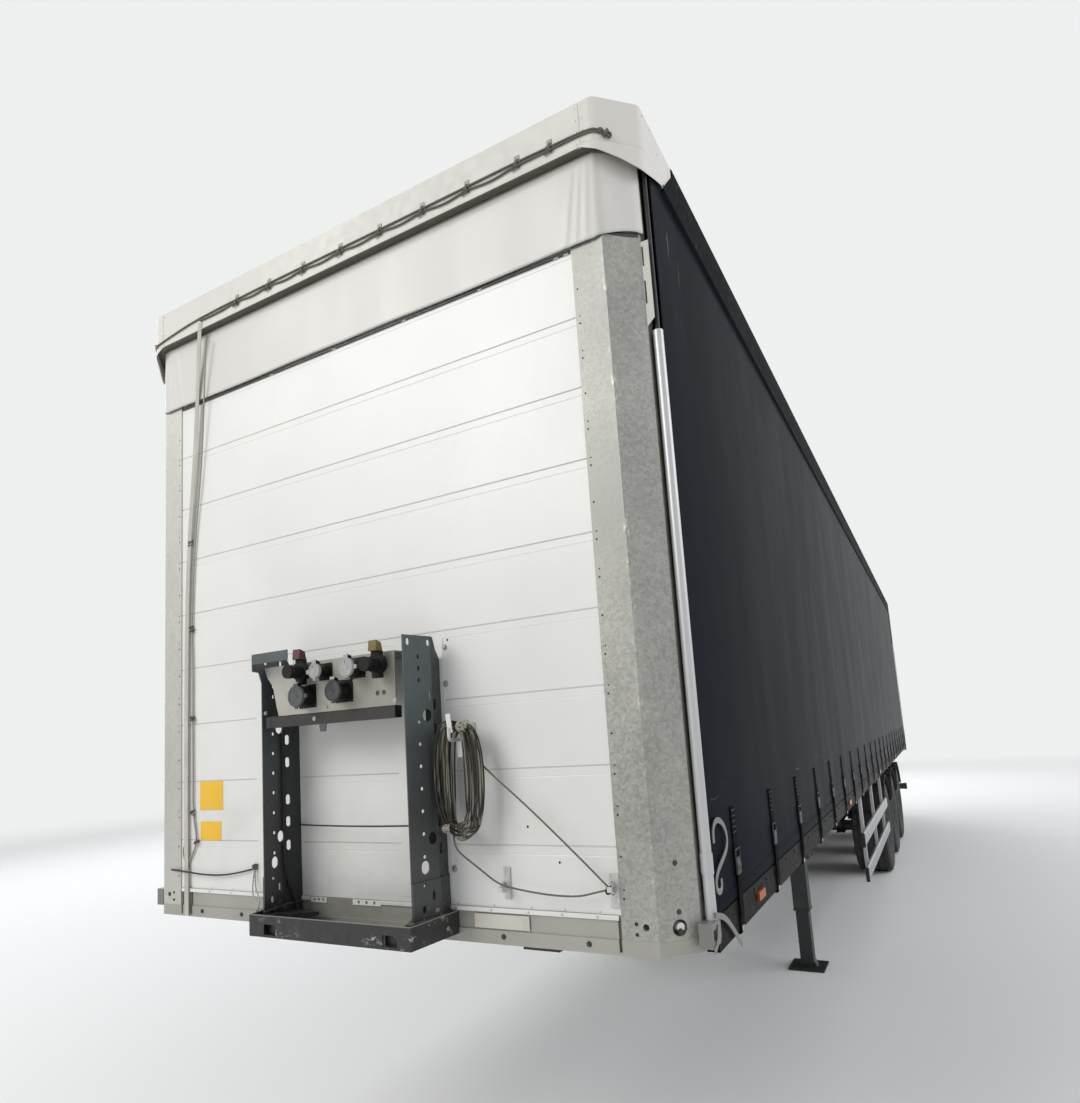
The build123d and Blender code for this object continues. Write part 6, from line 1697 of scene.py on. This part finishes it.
@wheel_detail("cast_iron")
def drum(shape, side, centre):
    """A ribbed cast drum inside the wheel."""
    outer = [
        (-0.175, 0.196), (-0.175, 0.214), (-0.150, 0.214), (-0.148, 0.207), (-0.100, 0.207), (-0.098, 0.212),
        (-0.085, 0.212), (-0.083, 0.207), (-0.030, 0.205), (-0.012, 0.180), (-0.008, 0.112),
    ]
    inner = [(-0.018, 0.112), (-0.022, 0.172), (-0.036, 0.192)]
    add_lathe(shape, outer + inner, centre, (0, side, 0), 48)


@detail("cast_iron", "bare_steel", each=ALL_WHEELS)
def brake_shields(shape, side, centre):
    """Pressed plates over the drums' open sides, and the camshafts that reach them."""
    plate = [(-0.178, 0.070), (-0.178, 0.195), (-0.181, 0.199), (-0.184, 0.195), (-0.190, 0.120),
             (-0.190, 0.070)]
    add_lathe(shape, plate, centre, (0, side, 0), 40)
    shaft = Vector((centre.x + 0.10, side * 0.60, centre.z + 0.055))
    add_rod(shape, shaft, (shaft.x, side * 0.842, shaft.z), 0.019, 14)
    add_slab(shape, (shaft.x - 0.012, side * 0.615, shaft.z - 0.02),
             (shaft.x + 0.012, side * 0.640, shaft.z + 0.13), 0.004)


@detail("cast_iron", "bare_steel", each=ALL_WHEELS)
def axle_clamps(shape, side, centre):
    """U-bolts and their seats, which hold each axle under its trailing arm."""
    for along in (-0.08, 0.08):
        for offset in (-0.034, 0.034):
            place = (centre.x + along, side * BEAM_ACROSS + offset)
            add_rod(shape, (*place, 0.452), (*place, 0.690), 0.010, 10)
            add_bolt(shape, (*place, 0.664), UPWARDS, 0.016, 0.014)
    seat = side * BEAM_ACROSS
    add_slab(shape, (centre.x - 0.10, seat - 0.05, 0.456), (centre.x + 0.10, seat + 0.05, 0.4722), 0.004)


@detail("dark_steel", each=ALL_WHEELS)
def dampers(shape, side, centre):
    """Shock absorbers between the trailing arms and their hangers."""
    low = Vector((centre.x + 0.06, side * 0.555, 0.645))
    high = Vector((centre.x + 0.46, side * 0.555, 0.845))
    along = (high - low).normalized()
    add_rod(shape, low, high, 0.011, 12)
    add_rod(shape, low + along * 0.02, low + along * 0.24, 0.027, 18)
    add_rod(shape, low + along * 0.18, high - along * 0.02, 0.032, 18)
    for place, reach in ((low, 0.602), (high, 0.589)):
        add_rod(shape, (place.x, side * 0.53, place.z), (place.x, side * reach, place.z), 0.013, 12)
        add_band(shape, place, LEFTWARDS, -0.02, 0.02, 0.013, 0.025, 20)


@detail("tyre", sharp=60, each=ALL_WHEELS)
def bellows_bands(shape, side, centre):
    """Girdles and bead rings of the air springs."""
    for height, radius, wire in ((0.765, 0.1405, 0.005), (0.815, 0.1445, 0.004), (0.885, 0.1375, 0.005),
                                 (0.668, 0.089, 0.005)):
        add_hoop(shape, (centre.x - 0.330, side * BEAM_ACROSS, height), UPWARDS, radius, wire, 40, 8)


@detail("zinc_fitting", each=ALL_WHEELS)
def chamber_bands(shape, side, centre):
    """Clamp bands with their bolts round the brake chambers, and the push rods."""
    near = Vector((centre.x + 0.06, side * 0.49, centre.z + 0.02))
    far = near + Vector((0.17, 0, 0.04))
    along = (far - near).normalized()
    middle = (near + far) / 2
    add_band(shape, middle, along, -0.012, 0.012, 0.0845, 0.092, 36)
    add_bolt(shape, middle + Vector((0, side * 0.088, 0.02)), along, 0.008, 0.02)
    for step in range(3):
        add_bolt(shape, far + Vector((0, 0.05 * (step - 1), 0.01)), along, 0.010, 0.008)


@detail("zinc_fitting")
def tank_bands(shape):
    """Straps round the air tanks, drain valves and end ports."""
    low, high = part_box("air_tanks")
    radius = 0.14
    for along in (low.x + radius, high.x - radius):
        centre = Vector((along, 0, low.z + radius))
        for across in (-0.38, 0.38):
            place = centre + Vector((0, across, 0))
            add_band(shape, place, LEFTWARDS, -0.019, 0.019, 0.1396, 0.1432, 44)
            add_bolt(shape, place + Vector((0.0, 0, -0.143)), DOWNWARDS, 0.008, 0.01)
        add_bolt(shape, centre + Vector((0, 0.1, -0.1395)), DOWNWARDS, 0.012, 0.022)
        for end in (-0.559, 0.559):
            add_bolt(shape, centre + Vector((0, end, 0)), (0, end, 0), 0.014, 0.016)


@detail("dark_steel", each=BOTH_SIDES)
def leg_details(shape, side):
    """Gear-case bolts, leg collars, foot pins and wear pads on the landing legs."""
    for offset in (-0.055, 0.055):
        for height in (0.835, 0.90, 0.965):
            add_bolt(shape, (LEG_ALONG + offset, side * 0.898, height), (0, side, 0), 0.007, 0.005)
    across = side * LEG_ACROSS
    for foot in (0.425, 1.172):
        add_slab(shape, (LEG_ALONG - COLLAR_HALF, across - COLLAR_HALF, foot),
                 (LEG_ALONG + COLLAR_HALF, across + COLLAR_HALF, foot + 0.014), 0.002)
    add_rod(shape, (LEG_ALONG - 0.052, across, 0.038), (LEG_ALONG + 0.052, across, 0.038), 0.012, 12)
    for offset in (-0.095, 0.095):
        for height in (1.0, 1.06, 1.12):
            add_bolt(shape, (LEG_ALONG + offset, side * 0.742, height), (0, side, 0), 0.009, 0.007)


@detail("black_plastic")
def crank_grip(shape):
    """A ribbed sleeve on the crank's handle."""
    ribs = [(0.0, 0.0135), (0.0, 0.0165)]
    for step in range(8):
        ribs += [(0.004 + 0.012 * step, 0.0175), (0.011 + 0.012 * step, 0.0160)]
    ribs += [(0.102, 0.0165), (0.102, 0.0135)]
    add_lathe(shape, ribs, (LEG_ALONG - 0.172, -1.136, 0.88), (0, -1, 0), 20)


@detail("bare_steel")
def kingpin_bolts(shape):
    """Bolts round the kingpin, and the pressed ribs on the coupling plate."""
    low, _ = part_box("coupling_plate")
    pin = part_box("kingpin")
    centre = (pin[0] + pin[1]) / 2
    for index in range(8):
        angle = 2 * math.pi * index / 8
        place = (centre.x + 0.085 * math.cos(angle), 0.085 * math.sin(angle), low.z)
        add_bolt(shape, place, DOWNWARDS, 0.012, 0.008)
    for across in (-0.45, -0.25, 0.25, 0.45):
        add_slab(shape, (low.x + 0.08, across - 0.012, low.z - 0.0025),
                 (low.x + 1.70, across + 0.012, low.z + 0.001), 0.001)


@detail("dark_steel", each=BOTH_SIDES)
def beam_ribs(shape, side):
    """Stiffeners on both faces of the main beams' webs, behind the neck."""
    for step in range(13):
        along = 2.45 - 0.6545 * step
        for near, far in ((0.583, 0.6455), (0.6545, 0.717)):
            add_slab(shape, (along - 0.004, side * near, 0.9325), (along + 0.004, side * far, 1.19), 0.001)


@detail("black_plastic", sharp=60, each=BOTH_SIDES)
def chassis_pipes(shape, side):
    """Rigid brake lines clipped along the inside of both main beams."""
    for height in (1.075, 1.105):
        add_rod(shape, (-6.2, side * 0.638, height), (2.7, side * 0.638, height), 0.005, 8)
    for step in range(12):
        along = -6.0 + 0.76 * step
        add_slab(shape, (along - 0.008, side * 0.631, 1.066), (along + 0.008, side * 0.6458, 1.114), 0.002)


# Studio
PALE = (0.86, 0.87, 0.87)


def shown_rays(tree):
    """1 for rays that show the background: from the camera, off gloss or through glass."""
    rays = tree.nodes.new("ShaderNodeLightPath")
    camera, glossy, through = (Value(rays.outputs[name]) for name in (
        "Is Camera Ray", "Is Glossy Ray", "Is Transmission Ray"))
    return camera.most(glossy).most(through)


def mixed_shader(tree, share, first, second):
    chosen = tree.nodes.new("ShaderNodeMixShader")
    feed(tree, share, chosen.inputs[0])
    tree.links.new(first.outputs[0], chosen.inputs[1])
    tree.links.new(second.outputs[0], chosen.inputs[2])
    return chosen


def add_studio():
    """A pale floor that keeps the shadow near the trailer and fades into the background far from it."""
    floor = bpy.data.meshes.new("studio_floor")
    shape = bmesh.new()
    bmesh.ops.create_circle(shape, cap_ends=True, segments=96, radius=60)
    shape.to_mesh(floor)
    shape.free()
    ground = bpy.data.objects.new("studio_floor", floor)
    bpy.context.scene.collection.objects.link(ground)
    finish = Finish("studio_floor", (0.80, 0.80, 0.79), 0.9)
    tree = finish.tree
    away = finish.ranged((finish.axis("X") ** 2 + finish.axis("Y") ** 2) ** 0.5, 9, 26) * shown_rays(tree)
    pale = tree.nodes.new("ShaderNodeEmission")
    pale.inputs["Color"].default_value = (*PALE, 1)
    ground_mix = mixed_shader(tree, away, finish.shader, pale)
    tree.links.new(ground_mix.outputs[0], tree.nodes["Material Output"].inputs["Surface"])
    floor.materials.append(finish.material)

    world = bpy.data.worlds.new("studio")
    bpy.context.scene.world = world
    world.use_nodes = True
    tree = world.node_tree
    light = tree.nodes["Background"]
    light.inputs["Color"].default_value = (0.93, 0.96, 1.0, 1)
    light.inputs["Strength"].default_value = 0.62
    pale = tree.nodes.new("ShaderNodeBackground")
    pale.inputs["Color"].default_value = (*PALE, 1)
    world_mix = mixed_shader(tree, shown_rays(tree), light, pale)
    tree.links.new(world_mix.outputs[0], tree.nodes["World Output"].inputs["Surface"])


def add_lamp(name, place, target, size, power, colour=(1, 1, 1)):
    data = bpy.data.lights.new(name, "AREA")
    data.shape = "RECTANGLE"
    data.size, data.size_y = size
    data.energy = power
    data.color = colour
    lamp = bpy.data.objects.new(name, data)
    lamp.location = place
    lamp.rotation_euler = (Vector(target) - Vector(place)).to_track_quat("-Z", "Y").to_euler()
    bpy.context.scene.collection.objects.link(lamp)


add_studio()
add_lamp("front_key", (WALL + 9, -5, 9), (WALL - 2, 0, 2), (7, 7), 900, (1, 0.98, 0.95))
add_lamp("side_fill", (0, 14, 9), (0, 0, 2), (16, 8), 1100, (0.95, 0.97, 1))
add_lamp("right_fill", (0, -14, 9), (0, 0, 2), (16, 8), 900, (0.95, 0.97, 1))
add_lamp("rear_fill", (-16, -3, 8), (-7, 0, 2), (8, 6), 700, (1, 1, 1))

scene_settings = bpy.context.scene.view_settings
scene_settings.view_transform = "Standard"
